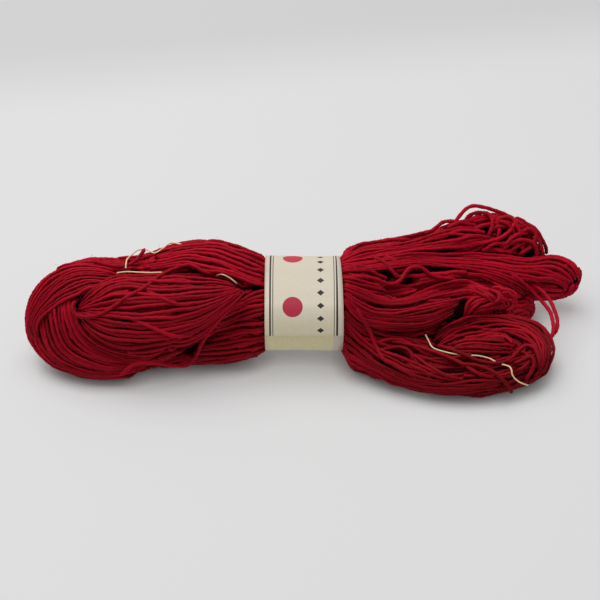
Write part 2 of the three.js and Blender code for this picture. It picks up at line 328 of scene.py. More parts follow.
COMBS = [
    Comb("left_over", 10, (3.5, 4.0), 1.2, 0.25, [
        [(126, 276, -1.5), (116, 271, -0.5), (104, 268), (90, 266), (75, 266), (59, 270.5), (44, 281),
         (33, 296, 0.8), (27, 313, 1), (26, 326, 1), (29, 338, 0.8), (34.5, 348)],
        [(124, 284, -2), (112, 278, -0.5), (100, 275.5), (88, 275), (75, 277), (60, 285), (47, 296, 0.8),
         (37, 309, 1.2), (31, 325, 1.2), (34, 337, 0.8), (40, 347)],
        [(116, 290, -1.5), (104, 287, -0.5), (94, 287), (86, 289, 0.3), (77, 294, 0.8), (62, 301, 1.4),
         (50, 309, 1.6), (39, 320, 1.6), (37, 333, 1.2), (42, 346)],
    ]),
    Comb("left_back", 4, (1.5, 2.5), 0.4, 0.4, [
        [(131, 266), (115, 262.5), (95, 261.5), (76, 262.5), (63, 266), (52, 272)],
        [(128, 271), (112, 269), (96, 265.5), (78, 265), (65, 269), (54, 275)],
    ]),
    Comb("left_under", 17, (0.8, 2.0), 0.1, 0.3, [
        [(29, 317), (31, 336), (37.5, 351.5), (47, 362), (60, 369.5), (75, 373.5), (95, 376), (115, 376),
         (132, 372), (147, 366)],
        [(40, 303), (39, 320), (43, 341), (53, 357), (70, 366), (88, 372), (108, 373.5), (130, 371),
         (150, 364)],
        [(50, 296), (50, 312), (54, 335), (61, 351), (74, 360), (92, 367), (110, 369), (130, 367),
         (152, 361)],
        [(60, 292), (60, 308), (63, 331), (71, 346), (84, 355), (100, 361), (118, 364), (136, 363),
         (156, 357)],
        [(69, 291), (68, 306), (70, 321), (76, 337), (86, 347), (99, 354), (115, 359), (134, 360),
         (158, 354)],
        [(75, 294, -1), (74, 308, -0.5), (79, 325), (88, 337), (99, 345), (114, 351), (132, 355),
         (150, 356), (166, 350)],
    ]),
    Comb("left_front", 17, (3.0, 2.0), 0.5, 0.3, [
        [(77, 306), (82, 301, 0.5), (89, 293, 1.4), (101, 283, 1.6), (118, 276.5, 1), (140, 276),
         (165, 275), (190, 274), (215, 276), (232, 281), (244, 288)],
        [(78, 308), (84, 304, 0.5), (94, 295, 1), (108, 286, 0.8), (130, 283), (160, 286), (190, 285),
         (215, 286), (236, 288)],
        [(77, 310), (86, 309.5), (100, 308), (120, 306), (150, 305), (180, 303), (205, 300), (225, 294),
         (241, 289)],
        [(76, 311), (84, 314), (95, 318), (115, 321), (140, 324), (170, 322), (195, 317), (215, 307),
         (232, 296), (243, 290)],
        [(75, 312), (82, 318), (92, 327), (108, 335), (130, 338), (160, 337), (185, 332), (208, 321),
         (228, 304), (244, 291)],
        [(75, 313), (80, 319), (88, 330), (100, 340), (118, 347), (140, 349), (163, 345), (184, 336),
         (203, 328), (221, 315), (235, 303), (247, 291)],
    ]),
    Comb("left_top", 9, (1.5, 0.5), 0.4, 0.35, [
        [(152, 252), (165, 248), (180, 244), (198, 241.5), (215, 241), (235, 245), (252, 251), (266, 256)],
        [(154, 258), (175, 251), (200, 247), (220, 248), (242, 257), (266, 268)],
        [(145, 264), (165, 260), (190, 256), (212, 258), (232, 266), (250, 274), (266, 278)],
        [(140, 270), (165, 268), (185, 266), (205, 270), (222, 272), (237, 277), (252, 282), (264, 285)],
    ]),
    Comb("left_low", 13, (1.8, 0.5), 0.3, 0.3, [
        [(232, 305), (245, 298), (256, 293), (268, 290)],
        [(215, 321), (230, 315), (247, 309), (268, 305)],
        [(211, 331), (225, 328), (243, 324), (268, 320)],
        [(204, 345), (220, 342), (240, 338), (268, 335)],
        [(188, 357), (205, 358), (225, 357), (245, 354), (268, 350)],
    ]),
    Comb("right_top", 7, (0.5, 2.5), 0.4, 0.8, [
        [(340, 259), (352, 253), (366, 248), (385, 245), (405, 242), (425, 237), (442, 231), (458, 228),
         (475, 229), (490, 232)],
        [(342, 261), (365, 254), (385, 250), (410, 247), (430, 243), (450, 238), (470, 236), (492, 238)],
        [(342, 264), (370, 258), (395, 255), (415, 251), (440, 248), (465, 246), (490, 242), (506, 238)],
    ]),
    Comb("right_middle", 8, (0.5, 2.0), 0.7, 0.45, [
        [(342, 265), (366, 262), (390, 257), (412, 253.5), (440, 253.5), (470, 254), (500, 256), (530, 259),
         (549, 255.5), (562, 258), (573, 264), (579, 274), (578, 286)],
        [(342, 268), (366, 266), (390, 262), (415, 259), (445, 259.5), (475, 261), (503, 264), (530, 267),
         (550, 267), (565, 273), (573, 282), (571, 292)],
        [(342, 271), (366, 270), (392, 268), (420, 265), (450, 267), (480, 270), (508, 277), (532, 281),
         (550, 281), (562, 285), (567, 292)],
    ]),
    Comb("right_fall", 7, (1.5, 1.5), 0.9, 0.5, [
        [(470, 266), (490, 270), (510, 277), (528, 286), (542, 297)],
        [(462, 275), (480, 277), (498, 285), (515, 294), (530, 301)],
    ]),
    Comb("right_small", 8, (0.5, 3.0), 0.5, 0.6, [
        [(343, 283), (358, 288), (375, 295), (392, 300), (408, 297), (425, 290), (445, 283), (463, 281),
         (481, 285), (496, 292), (506, 301), (511, 311)],
        [(344, 290), (362, 298), (380, 304), (400, 305), (425, 300), (448, 294), (468, 291), (482, 295),
         (491, 303), (492, 311)],
    ]),
    Comb("right_fan", 10, (0.5, 6.0), 0.4, 0.5, [
        [(344, 293), (360, 302), (378, 309), (400, 310), (425, 306), (448, 301), (466, 297)],
        [(344, 298), (353, 308), (364, 317), (380, 320), (400, 321), (425, 319), (445, 312), (462, 303)],
        [(344, 304), (354, 316), (368, 325), (385, 329), (405, 330), (425, 328), (440, 321), (452, 314)],
    ]),
    Comb("right_loop", 9, (3.0, 2.0), 0.4, 0.8, [
        [(428, 341), (440, 331), (455, 322), (470, 317), (490, 314.5), (510, 316), (530, 320), (543, 327),
         (551, 338), (553.5, 350), (551, 362), (545, 373), (535, 381), (520, 386)],
        [(432, 343), (447, 333), (465, 325), (485, 322), (505, 323), (525, 328), (538, 335), (545, 346),
         (545, 360), (540, 372), (532, 380)],
        [(437, 346), (455, 338), (475, 333), (500, 333), (518, 336), (531, 342), (538, 352), (538, 363),
         (534, 373)],
    ]),
    Comb("right_loop_inner", 5, (1.5, 2.0), 0.2, 0.7, [
        [(440, 348), (460, 342), (480, 340), (500, 341), (516, 345)],
        [(455, 352), (475, 352), (495, 353), (512, 353)],
    ]),
    Comb("right_low", 9, (0.5, 1.5), 0.3, 0.9, [
        [(336, 349), (342, 357), (352, 363), (365, 369), (378, 376), (391, 385), (405, 388), (415, 391),
         (435, 392.5), (458, 392.5), (480, 390.5), (497, 386), (508, 383)],
        [(336, 340), (344, 348), (350, 352), (362, 360), (378, 368), (395, 377), (415, 384), (435, 387),
         (460, 388), (485, 385), (502, 382)],
        [(337, 326), (343, 333), (351, 341), (364, 352), (380, 364), (400, 373), (420, 380), (445, 383),
         (470, 381), (495, 380), (512, 381)],
    ]),
    Comb("right_cross", 4, (0.5, 2.0), 0.5, 0.9, [
        [(344, 311), (356, 322), (370, 330), (388, 335), (408, 337), (424, 341), (436, 346)],
        [(344, 317), (355, 327), (368, 335), (384, 341), (402, 345), (418, 351), (434, 358)],
    ]),
    Comb("right_cross_low", 4, (0.5, 2.0), 0.6, 0.9, [
        [(344, 319), (355, 331), (368, 342), (384, 352), (402, 358), (420, 366), (440, 373), (464, 379)],
        [(344, 325), (354, 337), (367, 348), (381, 359), (398, 367), (415, 375), (435, 381), (458, 383)],
    ]),
    Comb("small_lobe", 7, (3.0, 2.5), -1.2, 0.5, [
        [(462, 323, -2), (465, 314), (468, 305), (474, 298.5), (481, 297), (488, 299)],
        [(465, 323, -2), (470, 314), (479, 308), (491, 306), (501, 304), (505.5, 299), (503, 294)],
        [(470, 324, -2), (478, 316), (488, 312.5), (499, 312), (508, 311), (513, 305.5), (511, 298)],
    ]),
]

# Strands on their own: how far each stands off the hank, mm, and its line in steps of the grid.
STRAYS = {
    "swirl": (2.0, [(79, 299, -3), (74, 303, 0.5), (72.5, 308, 1), (75, 313.5, 0.5), (81, 316.5, 0.5),
        (90, 316.5), (104, 313), (118, 303.5), (130, 295), (145, 287), (158, 277), (172, 269), (188, 265),
        (197, 268), (206, 272), (220, 273)]),
    "cross_left": (1.6, [(131, 319), (142, 323), (155, 329), (170, 335), (183, 336), (196, 333)]),
    "cross_left_2": (1.5, [(146, 291), (158, 296), (168, 301), (180, 305), (196, 305)]),
    "cross_left_3": (0.3, [(158, 337), (171, 341), (184, 341), (196, 336), (208, 328), (219, 319)]),
    "cross_left_4": (0.0, [(163, 343), (177, 345.5), (190, 343), (202, 336), (213, 328)]),
    "top_edge": (1.6, [(340, 259), (346, 256), (352, 250), (360, 244.5), (375, 242.5), (395, 239),
        (415, 235), (430, 231.5)]),
    "wavy": (1.8, [(344, 277), (360, 277), (375, 279), (390, 284), (400, 281), (405, 273), (411, 268),
        (421, 268), (430, 274), (440, 278), (456, 279)]),
    "dive_1": (1.6, [(344, 268), (358, 266), (370, 270), (380, 276), (388, 279)]),
    "dive_2": (1.6, [(366, 256), (382, 261), (392, 270), (400, 278), (408, 270), (416, 265)]),
    "dive_3": (1.3, [(380, 254), (392, 259), (401, 266), (414, 266)]),
    "stub_near": (1.5, [(421, 274), (426, 279), (429, 284)]),
    "wave_1": (1.4, [(366, 340), (378, 342), (390, 339), (404, 341), (416, 346), (430, 346)]),
    "wave_2": (1.5, [(372, 352), (386, 349), (400, 347), (410, 352), (414, 360), (424, 366)]),
    "wave_3": (1.5, [(404, 358), (412, 366), (424, 371), (430, 378), (424, 383)]),
    "wave_4": (1.3, [(352, 331), (362, 338), (374, 341), (388, 347)]),
    "long_front": (1.8, [(352, 304), (360, 315), (369, 331), (376, 346), (383, 358), (393, 364), (406, 371),
        (420, 379)]),
    "cross_right_1": (1.6, [(380, 340), (400, 343), (420, 347), (440, 354), (460, 363), (480, 374),
        (496, 379)]),
    "cross_right_2": (1.5, [(398, 348), (414, 356), (430, 367), (446, 376), (464, 381)]),
    "cross_right_3": (1.5, [(384, 352), (400, 357), (416, 364), (428, 371)]),
    "over_end": (2.0, [(436, 345), (450, 349), (465, 355), (480, 361), (500, 362.5), (512, 358),
        (520, 349.5), (527, 345), (534, 348), (539, 358), (540, 370), (538, 379)]),
    "end_curl_1": (1.4, [(512, 364), (522, 360), (531, 356), (534, 364), (530, 374), (524, 381)]),
    "end_curl_2": (1.2, [(515, 372), (523, 368), (529, 362), (526, 354), (518, 352)]),
    "hump": (1.6, [(415, 235), (430, 231.5), (437, 226.5), (443, 222), (452, 221.5), (464, 223),
        (478, 226)]),
    "loop_2": (1.4, [(464, 224), (468, 217), (475, 213), (483, 212.5), (490, 215), (493, 222), (491, 231),
        (487, 238)]),
    "loop_3": (1.2, [(473, 223), (476, 217), (482, 214.5)]),
    "pair": (1.6, [(500, 267), (515, 276), (530, 289), (541, 300), (549, 310), (553, 320), (554, 331),
        (550, 341)]),
    "curl_1": (1.6, [(497, 241), (499, 230), (496, 222), (502, 218), (512, 218), (517, 226), (520, 233),
        (517, 241)]),
    "curl_2": (1.8, [(518, 219), (514, 225), (508, 232), (500, 238), (490, 241)]),
    "curl_3": (1.5, [(512, 240), (520, 233), (530, 229), (536, 235), (532, 244), (524, 251)]),
    "curl_4": (1.5, [(503, 250), (512, 243), (522, 240), (532, 243), (537, 252), (536, 259)]),
    "curl_5": (1.2, [(515, 217), (525, 222), (533, 230), (539, 240), (543, 251), (544, 261)]),
    "curl_6": (1.2, [(498, 253), (506, 247), (510, 240), (508, 232)]),
    "curl_7": (1.3, [(540, 243), (536, 250), (541, 256)]),
    "curl_8": (1.6, [(527, 223), (535, 229), (541, 237), (545, 246), (546, 255)]),
    "curl_9": (2.0, [(499, 247), (507, 243), (513, 237), (520, 233), (528, 233)]),
    "curl_10": (1.6, [(507, 257), (512, 250), (519, 245), (528, 241)]),
    "curl_11": (1.6, [(517, 256), (525, 251), (532, 245), (535, 237)]),
    "curl_12": (2.0, [(493, 223), (500, 221), (507, 224), (512, 229), (516, 237)]),
    "small_curl_1": (2.0, [(470, 287), (480, 290), (487, 295.5), (489, 303)]),
    "small_curl_2": (2.0, [(488, 290), (495, 291.5), (500, 296.5), (497.5, 302), (492, 303.5)]),
    "small_curl_3": (2.2, [(497, 286), (505, 290.5), (511, 297.5), (513.5, 305), (511.5, 312)]),
}

# Places where the strands sink and leave a hollow: right, up, half width, half height, depth, mm.
HOLLOWS = [
    (-120, -3.5, 4.5, 5, 7),
    (-60, -23.5, 9, 6, 13),
    (-22, 7, 4.5, 3.5, 6),
    (46, 12.5, 8, 4, 8),
    (57, 10, 7, 3.5, 7),
    (84, -5, 10, 8, 8),
    (76, -14, 8, 4, 7),
    (113, 36, 6, 4, 6),
    (124, 33, 6, 5, 5),
    (121, 24, 6, 3, 5),
    (133, -31, 3, 9, 5),
    (122, -37, 8, 7, 5),
    (96, -36, 17, 4, 6),
    (64, -46, 7, 2.5, 5),
    (44, -36, 8, 5, 6),
    (57, -29, 9, 2.5, 5),
    (-76, -40, 18, 5, 14),
    (29, -42, 10, 6, 13),
]


# ---- Lines and waves ------------------------------------------------------------------------


def under_band(guide: Line) -> Line:
    """Runs a guide that stops at the band on under it.

    Args:
        guide: its points, in steps of the grid.

    Returns:
        The points, with one more under the band at each end that meets it.
    """
    line = list(guide)
    (x, y), (_, rise) = line[0][:2], line[1][:2]
    if RIGHT_OF_BAND[0] <= x <= RIGHT_OF_BAND[1]:
        line.insert(0, (x - UNDER_RIGHT, y - (rise - y) * UNDER_SLOPE))
    x, y = line[-1][:2]
    if LEFT_OF_BAND[0] <= x <= LEFT_OF_BAND[1]:
        line.append((x + UNDER_LEFT, y))
    return line


def in_view(guide: Line) -> Line:
    """Turns a guide from steps of the grid into mm right and up from the middle of the view.

    Args:
        guide: its points, in steps of the grid.

    Returns:
        The points in mm, each with its lift if it has one.
    """
    return [(rounded(x - GRID_MIDDLE), rounded(GRID_MIDDLE - y), *lift) for x, y, *lift in guide]


def rounded(steps: float) -> float:
    """A distance in steps of the grid, as rounded mm."""
    return round(steps * GRID_STEP / GRID_ROUND) * GRID_ROUND


def spline(points: Array, per_segment: int = 12) -> Array:
    """Samples a Catmull-Rom line through points of any width.

    Args:
        points: the rows it passes through.
        per_segment: samples from each row to the next.

    Returns:
        The samples, first and last row included.
    """
    p = np.asarray(points, float)
    tangent = np.gradient(p, axis=0)
    u = np.linspace(0, 1, per_segment, endpoint=False)[:, None]
    h00, h10 = 2 * u**3 - 3 * u**2 + 1, u**3 - 2 * u**2 + u
    h01, h11 = -2 * u**3 + 3 * u**2, u**3 - u**2
    parts = [
        h00 * a + h10 * ta + h01 * b + h11 * tb
        for a, b, ta, tb in zip(p[:-1], p[1:], tangent[:-1], tangent[1:])
    ]
    return np.vstack([*parts, p[-1:]])


def lengths(points: Array) -> Array:
    """The distance along a line at each of its points."""
    return np.concatenate([[0.0], np.cumsum(np.linalg.norm(np.diff(points[:, :3], axis=0), axis=1))])


def wave(rng: np.random.Generator, s: Array, size: float, longest: float) -> Array:
    """A soft random sway along a strand.

    Args:
        rng: the seeded source of its phases.
        s: distances along the strand, mm.
        size: about how far it sways, in the unit wanted.
        longest: its longest wavelength, mm.

    Returns:
        The sway at each distance.
    """
    total = np.zeros_like(s)
    for octave, share in enumerate(OCTAVES):
        length = longest / 2**octave * rng.uniform(0.8, 1.3)
        total += share * np.sin(2 * np.pi * s / length + rng.uniform(0, 2 * np.pi))
    return size * total


def settled(strand: Array, inside: float = 0.0) -> Array:
    """Keeps a strand inside the paper band and above the table.

    Args:
        strand: its points, mm from the middle of the band.
        inside: how much further inside the band it stays, mm.

    Returns:
        The points, moved where they have to be.
    """
    p = strand.copy()
    y, z = p[:, 1] / WAIST_DEEP, (p[:, 2] - WAIST_HEIGHT) / WAIST_TALL
    r = np.hypot(y, z)
    past = np.clip(np.abs(p[:, 0] - BAND_MIDDLE) - BAND_WIDTH / 2 - BAND_EDGE, 0, None)
    limit = BAND_FILL - inside / WAIST_DEEP + BAND_FLARE * past
    shrink = np.where(r > limit, limit / np.maximum(r, 1e-6), 1)
    p[:, 1] *= shrink
    p[:, 2] = WAIST_HEIGHT + (p[:, 2] - WAIST_HEIGHT) * shrink
    rest = YARN * SURFACE
    soft = rest + np.exp(np.clip(p[:, 2] - rest - 1, -9, 0))
    p[:, 2] = np.where(p[:, 2] < rest + 1, soft, p[:, 2])
    return p


def framed(points: Array) -> Array:
    """Places in mm from the middle of the band, as places in the shared frame, m."""
    return (points - ORIGIN) * MM


def from_band(places: Array) -> Array:
    """Places in the shared frame, m, as mm from the middle of the band."""
    return places / MM + ORIGIN


def nearby(strands: list[Array]) -> KDTree:
    """A way to find the strand points close to a place, all in mm from the middle of the band.

    Args:
        strands: strands of points, in mm from the middle of the band.

    Returns:
        The finder.
    """
    points = np.vstack([strand[:, :3] for strand in strands])
    found = KDTree(len(points))
    for i, place in enumerate(points):
        found.insert(Vector(place), i)
    found.balance()
    return found


def placed(name: str, data: bpy.types.ID) -> Object:
    """A new object of some data, linked into the scene.

    Args:
        name: its name.
        data: the mesh, curve, lamp or camera that it shows.

    Returns:
        The object.
    """
    made = bpy.data.objects.new(name, data)
    bpy.context.scene.collection.objects.link(made)
    return made


@dataclass
class Track:
    """The middle line of a bundle with its section sizes, by distance along it.

    rows: the sections. step: how far to each side its direction is taken, mm.
    per_row: samples from each section to the next.
    table, s: the samples, and the distance along the line at each.
    """

    rows: Line
    step: float = 0.5
    per_row: int = 24
    table: Array = field(init=False)
    s: Array = field(init=False)

    def __post_init__(self) -> None:
        """Samples the rows finely."""
        self.table = spline(np.array(self.rows, float), self.per_row)
        self.s = lengths(self.table)

    @property
    def long(self) -> float:
        """The length of the middle line, mm."""
        return float(self.s[-1])

    def at(self, s: Array) -> tuple[Array, Array, Array, Array, Array]:
        """Where a section is and how it is turned.

        Args:
            s: distances along the middle line, mm.

        Returns:
            Its centre, its across and deep directions, and its half sizes across and deep.
        """
        s = np.clip(s, 0, self.long)
        row = np.column_stack([np.interp(s, self.s, self.table[:, k]) for k in range(6)])
        before, after = s - self.step, s + self.step
        ahead = np.column_stack([
            np.interp(after, self.s, self.table[:, k]) - np.interp(before, self.s, self.table[:, k])
            for k in range(3)
        ])
        ahead /= np.linalg.norm(ahead, axis=1)[:, None]
        face = np.radians(row[:, 5])
        out = np.column_stack([np.zeros_like(face), -np.cos(face), np.sin(face)])
        out -= ahead * (out * ahead).sum(1)[:, None]
        out /= np.linalg.norm(out, axis=1)[:, None]
        side = np.cross(ahead, out)
        return row[:, :3], side, out, row[:, 3], row[:, 4]


# ---- Strands --------------------------------------------------------------------------------


@dataclass(frozen=True)
class View:
    """The camera, at the height and angle that the hank is seen from.

    elevation, distance, target: how it looks down, from how far in mm, and at what.
    scale, frame, sensor: mm to a picture element at the target, picture elements across, and the
        sensor's width, mm.
    rim, ease: how soft the edges of the hollows are.
    """

    elevation: float = 35.0
    distance: float = 950.0
    scale: float = GRID_STEP
    frame: int = 600
    sensor: float = 36.0
    target: tuple[float, float, float] = (-0.8, 18.4, 20.0)
    rim: float = 0.3
    ease: float = 1.5

    @property
    def axes(self) -> tuple[Array, Array, Array]:
        """Right, up and ahead in the view.

        Returns:
            Three directions of length one.
        """
        angle = math.radians(self.elevation)
        up = np.array((0, math.sin(angle), math.cos(angle)))
        return np.array((1.0, 0, 0)), up, np.array((0, math.cos(angle), -math.sin(angle)))

    @property
    def place(self) -> Array:
        """Where the camera is, in mm from the middle of the band."""
        return np.array(self.target) - self.axes[2] * self.distance

    def sunk(self, points: Array) -> Array:
        """Points pushed away from the camera where there is a hollow.

        Args:
            points: places in mm from the middle of the band.

        Returns:
            The places, moved where they have to be.
        """
        right, up, ahead = self.axes
        rays = points - self.place
        rays /= (rays @ ahead)[:, None]
        u, v = rays @ right * self.distance, rays @ up * self.distance
        for middle, height, wide, tall, depth in HOLLOWS:
            inside = 1 - ((u - middle) / wide) ** 2 - ((v - height) / tall) ** 2
            points = points + rays * (depth * np.clip(inside + self.rim, 0, 1) ** self.ease)[:, None]
        return points

    def build(self) -> Object:
        """Makes the camera and sets it as the scene's.

        Returns:
            The camera.
        """
        data = bpy.data.cameras.new("camera")
        data.sensor_width = self.sensor
        data.lens = self.distance / self.scale / self.frame * self.sensor
        camera = placed("camera", data)
        camera.location = framed(self.place)
        camera.rotation_euler = (math.radians(90 - self.elevation), 0, 0)
        bpy.context.scene.camera = camera
        return camera


@dataclass
class Layer:
    """Lays strands on the hank as they are seen from the camera.

    step: from one point of a strand to the next, mm.
    dive: over how long a strand dives at its ends, mm.
    jitter, spill: how uneven the spaces are, and how far strands pass the outer guides.
    waves: the longest sideways wave, mm.
    cover: how much wider a strand is than its space.
    uneven: how far a strand's height strays, mm.
    evened: over how many points to each side the distance to the hank is evened out.
    fewest, per_row: strands of no more points are left out, and samples from guide point to point.
    bury: how far a single strand's ends go under, mm.
    slimmest, fullest: the least and the most girth of a strand, as a share of the yarn.
    """

    tree: BVHTree
    view: View
    seed: int = 4
    step: float = 2.5
    dive: float = 12.0
    jitter: float = 0.25
    spill: float = 0.02
    waves: float = 60.0
    cover: float = 1.1
    uneven: tuple[float, float] = (-0.3, 0.4)
    evened: int = 3
    fewest: int = 4
    per_row: int = 8
    bury: float = 1.5
    slimmest: float = 0.62
    fullest: float = 0.97

    def even(self, line: Line, count: int) -> Array:
        """A line's points, smoothed and evenly spaced, each with its own lift.

        Args:
            line: its points in the plane of view, mm.
            count: how many points are wanted.

        Returns:
            The points.
        """
        smooth = spline(np.array([(*point, 0.0)[:3] for point in line], float), self.per_row)
        far = lengths(smooth[:, :2])
        places = np.linspace(0, far[-1], count)
        return np.column_stack([np.interp(places, far, smooth[:, k]) for k in (0, 1, 2)])

    def reach(self, line: Line) -> float:
        """The length of a guide in the plane of view, mm."""
        return float(lengths(np.array([point[:2] for point in line], float))[-1])

    def cast(self, line: Array, lift: float, tuck: tuple[float, float]) -> Array:
        """Drops a line onto the hank along the rays of the view.

        Args:
            line: places in the plane of view, mm, each with its own lift.
            lift: how far the strand's underside stands off the hank, mm.
            tuck: how deep its two ends dive, mm.

        Returns:
            The strand's points, mm from the middle of the band.
        """
        right, up, _ = self.view.axes
        eye = self.view.place
        rays = np.array(self.view.target) + line[:, :1] * right + line[:, 1:2] * up - eye
        rays /= np.linalg.norm(rays, axis=1)[:, None]
        far = np.full(len(line), np.nan)
        start = Vector(framed(eye))
        for i, ray in enumerate(rays):
            hit = self.tree.ray_cast(start, Vector(ray))
            if hit[0] is not None:
                far[i] = hit[3] / MM
        found = np.flatnonzero(~np.isnan(far))
        if not len(found):
            return np.empty((0, 3))
        far = np.interp(np.arange(len(far)), found, far[found])
        window = 2 * self.evened + 1
        far = np.convolve(np.pad(far, self.evened, mode="edge"), np.ones(window) / window, mode="valid")
        run = lengths(line[:, :2])
        dip = sum(
            depth * np.clip(1 - gone / self.dive, 0, 1) ** 2
            for depth, gone in zip(tuck, (run, run[-1] - run))
        )
        return eye + rays * (far - lift - line[:, 2] + dip)[:, None]

    def comb(self, comb: Comb) -> list[Array]:
        """The strands of one sheet.

        Args:
            comb: the sheet.

        Returns:
            Each strand's points and girth.
        """
        rng = np.random.default_rng([self.seed, comb.count, len(comb.name)])
        lines = comb.lines()
        samples = int(max(self.reach(line) for line in lines) / self.step)
        guides = np.array([self.even(line, samples) for line in lines])
        apart = np.linalg.norm(np.diff(guides[:, :, :2], axis=0), axis=2)
        place = np.concatenate([[0], np.cumsum(apart.mean(1))]) / apart.mean(1).sum()
        pitch = apart.sum(0) / (comb.count - 1) * self.cover
        run = np.arange(samples) * self.step
        strands = []
        for k in range(comb.count):
            t = k + rng.uniform(-self.jitter, self.jitter) + wave(rng, run, comb.stray, self.waves)
            t = np.clip(t / (comb.count - 1), -self.spill, 1 + self.spill)
            line = np.empty((samples, 3))
            for j in range(samples):
                line[j] = [np.interp(t[j], place, guides[:, j, axis]) for axis in (0, 1, 2)]
            ends = rng.integers(0, 3, 2)
            kept = slice(ends[0], samples - ends[1])
            laid = self.cast(line[kept], comb.lift + rng.uniform(*self.uneven), comb.tuck)
            girth = np.clip(pitch / YARN, self.slimmest, self.fullest)[kept]
            strands.append(np.column_stack([settled(laid), girth[: len(laid)]]))
        return [s for s in strands if len(s) > self.fewest]

    def stray(self, lift: float, guide: Line) -> Array:
        """One strand on its own.

        Args:
            lift: how far it stands off the hank, mm.
            guide: its line in the plane of view, mm.

        Returns:
            The strand's points and girth.
        """
        samples = int(self.reach(guide) / self.step) + 2
        tuck = lift + self.bury
        laid = settled(self.cast(self.even(guide, samples), lift, (tuck, tuck)))
        return np.column_stack([laid, np.ones(len(laid))])


def girth_round(across: float, deep: float) -> float:
    """The length round an oval of two half sizes."""
    return math.pi * (3 * (across + deep) - math.sqrt((3 * across + deep) * (across + 3 * deep)))


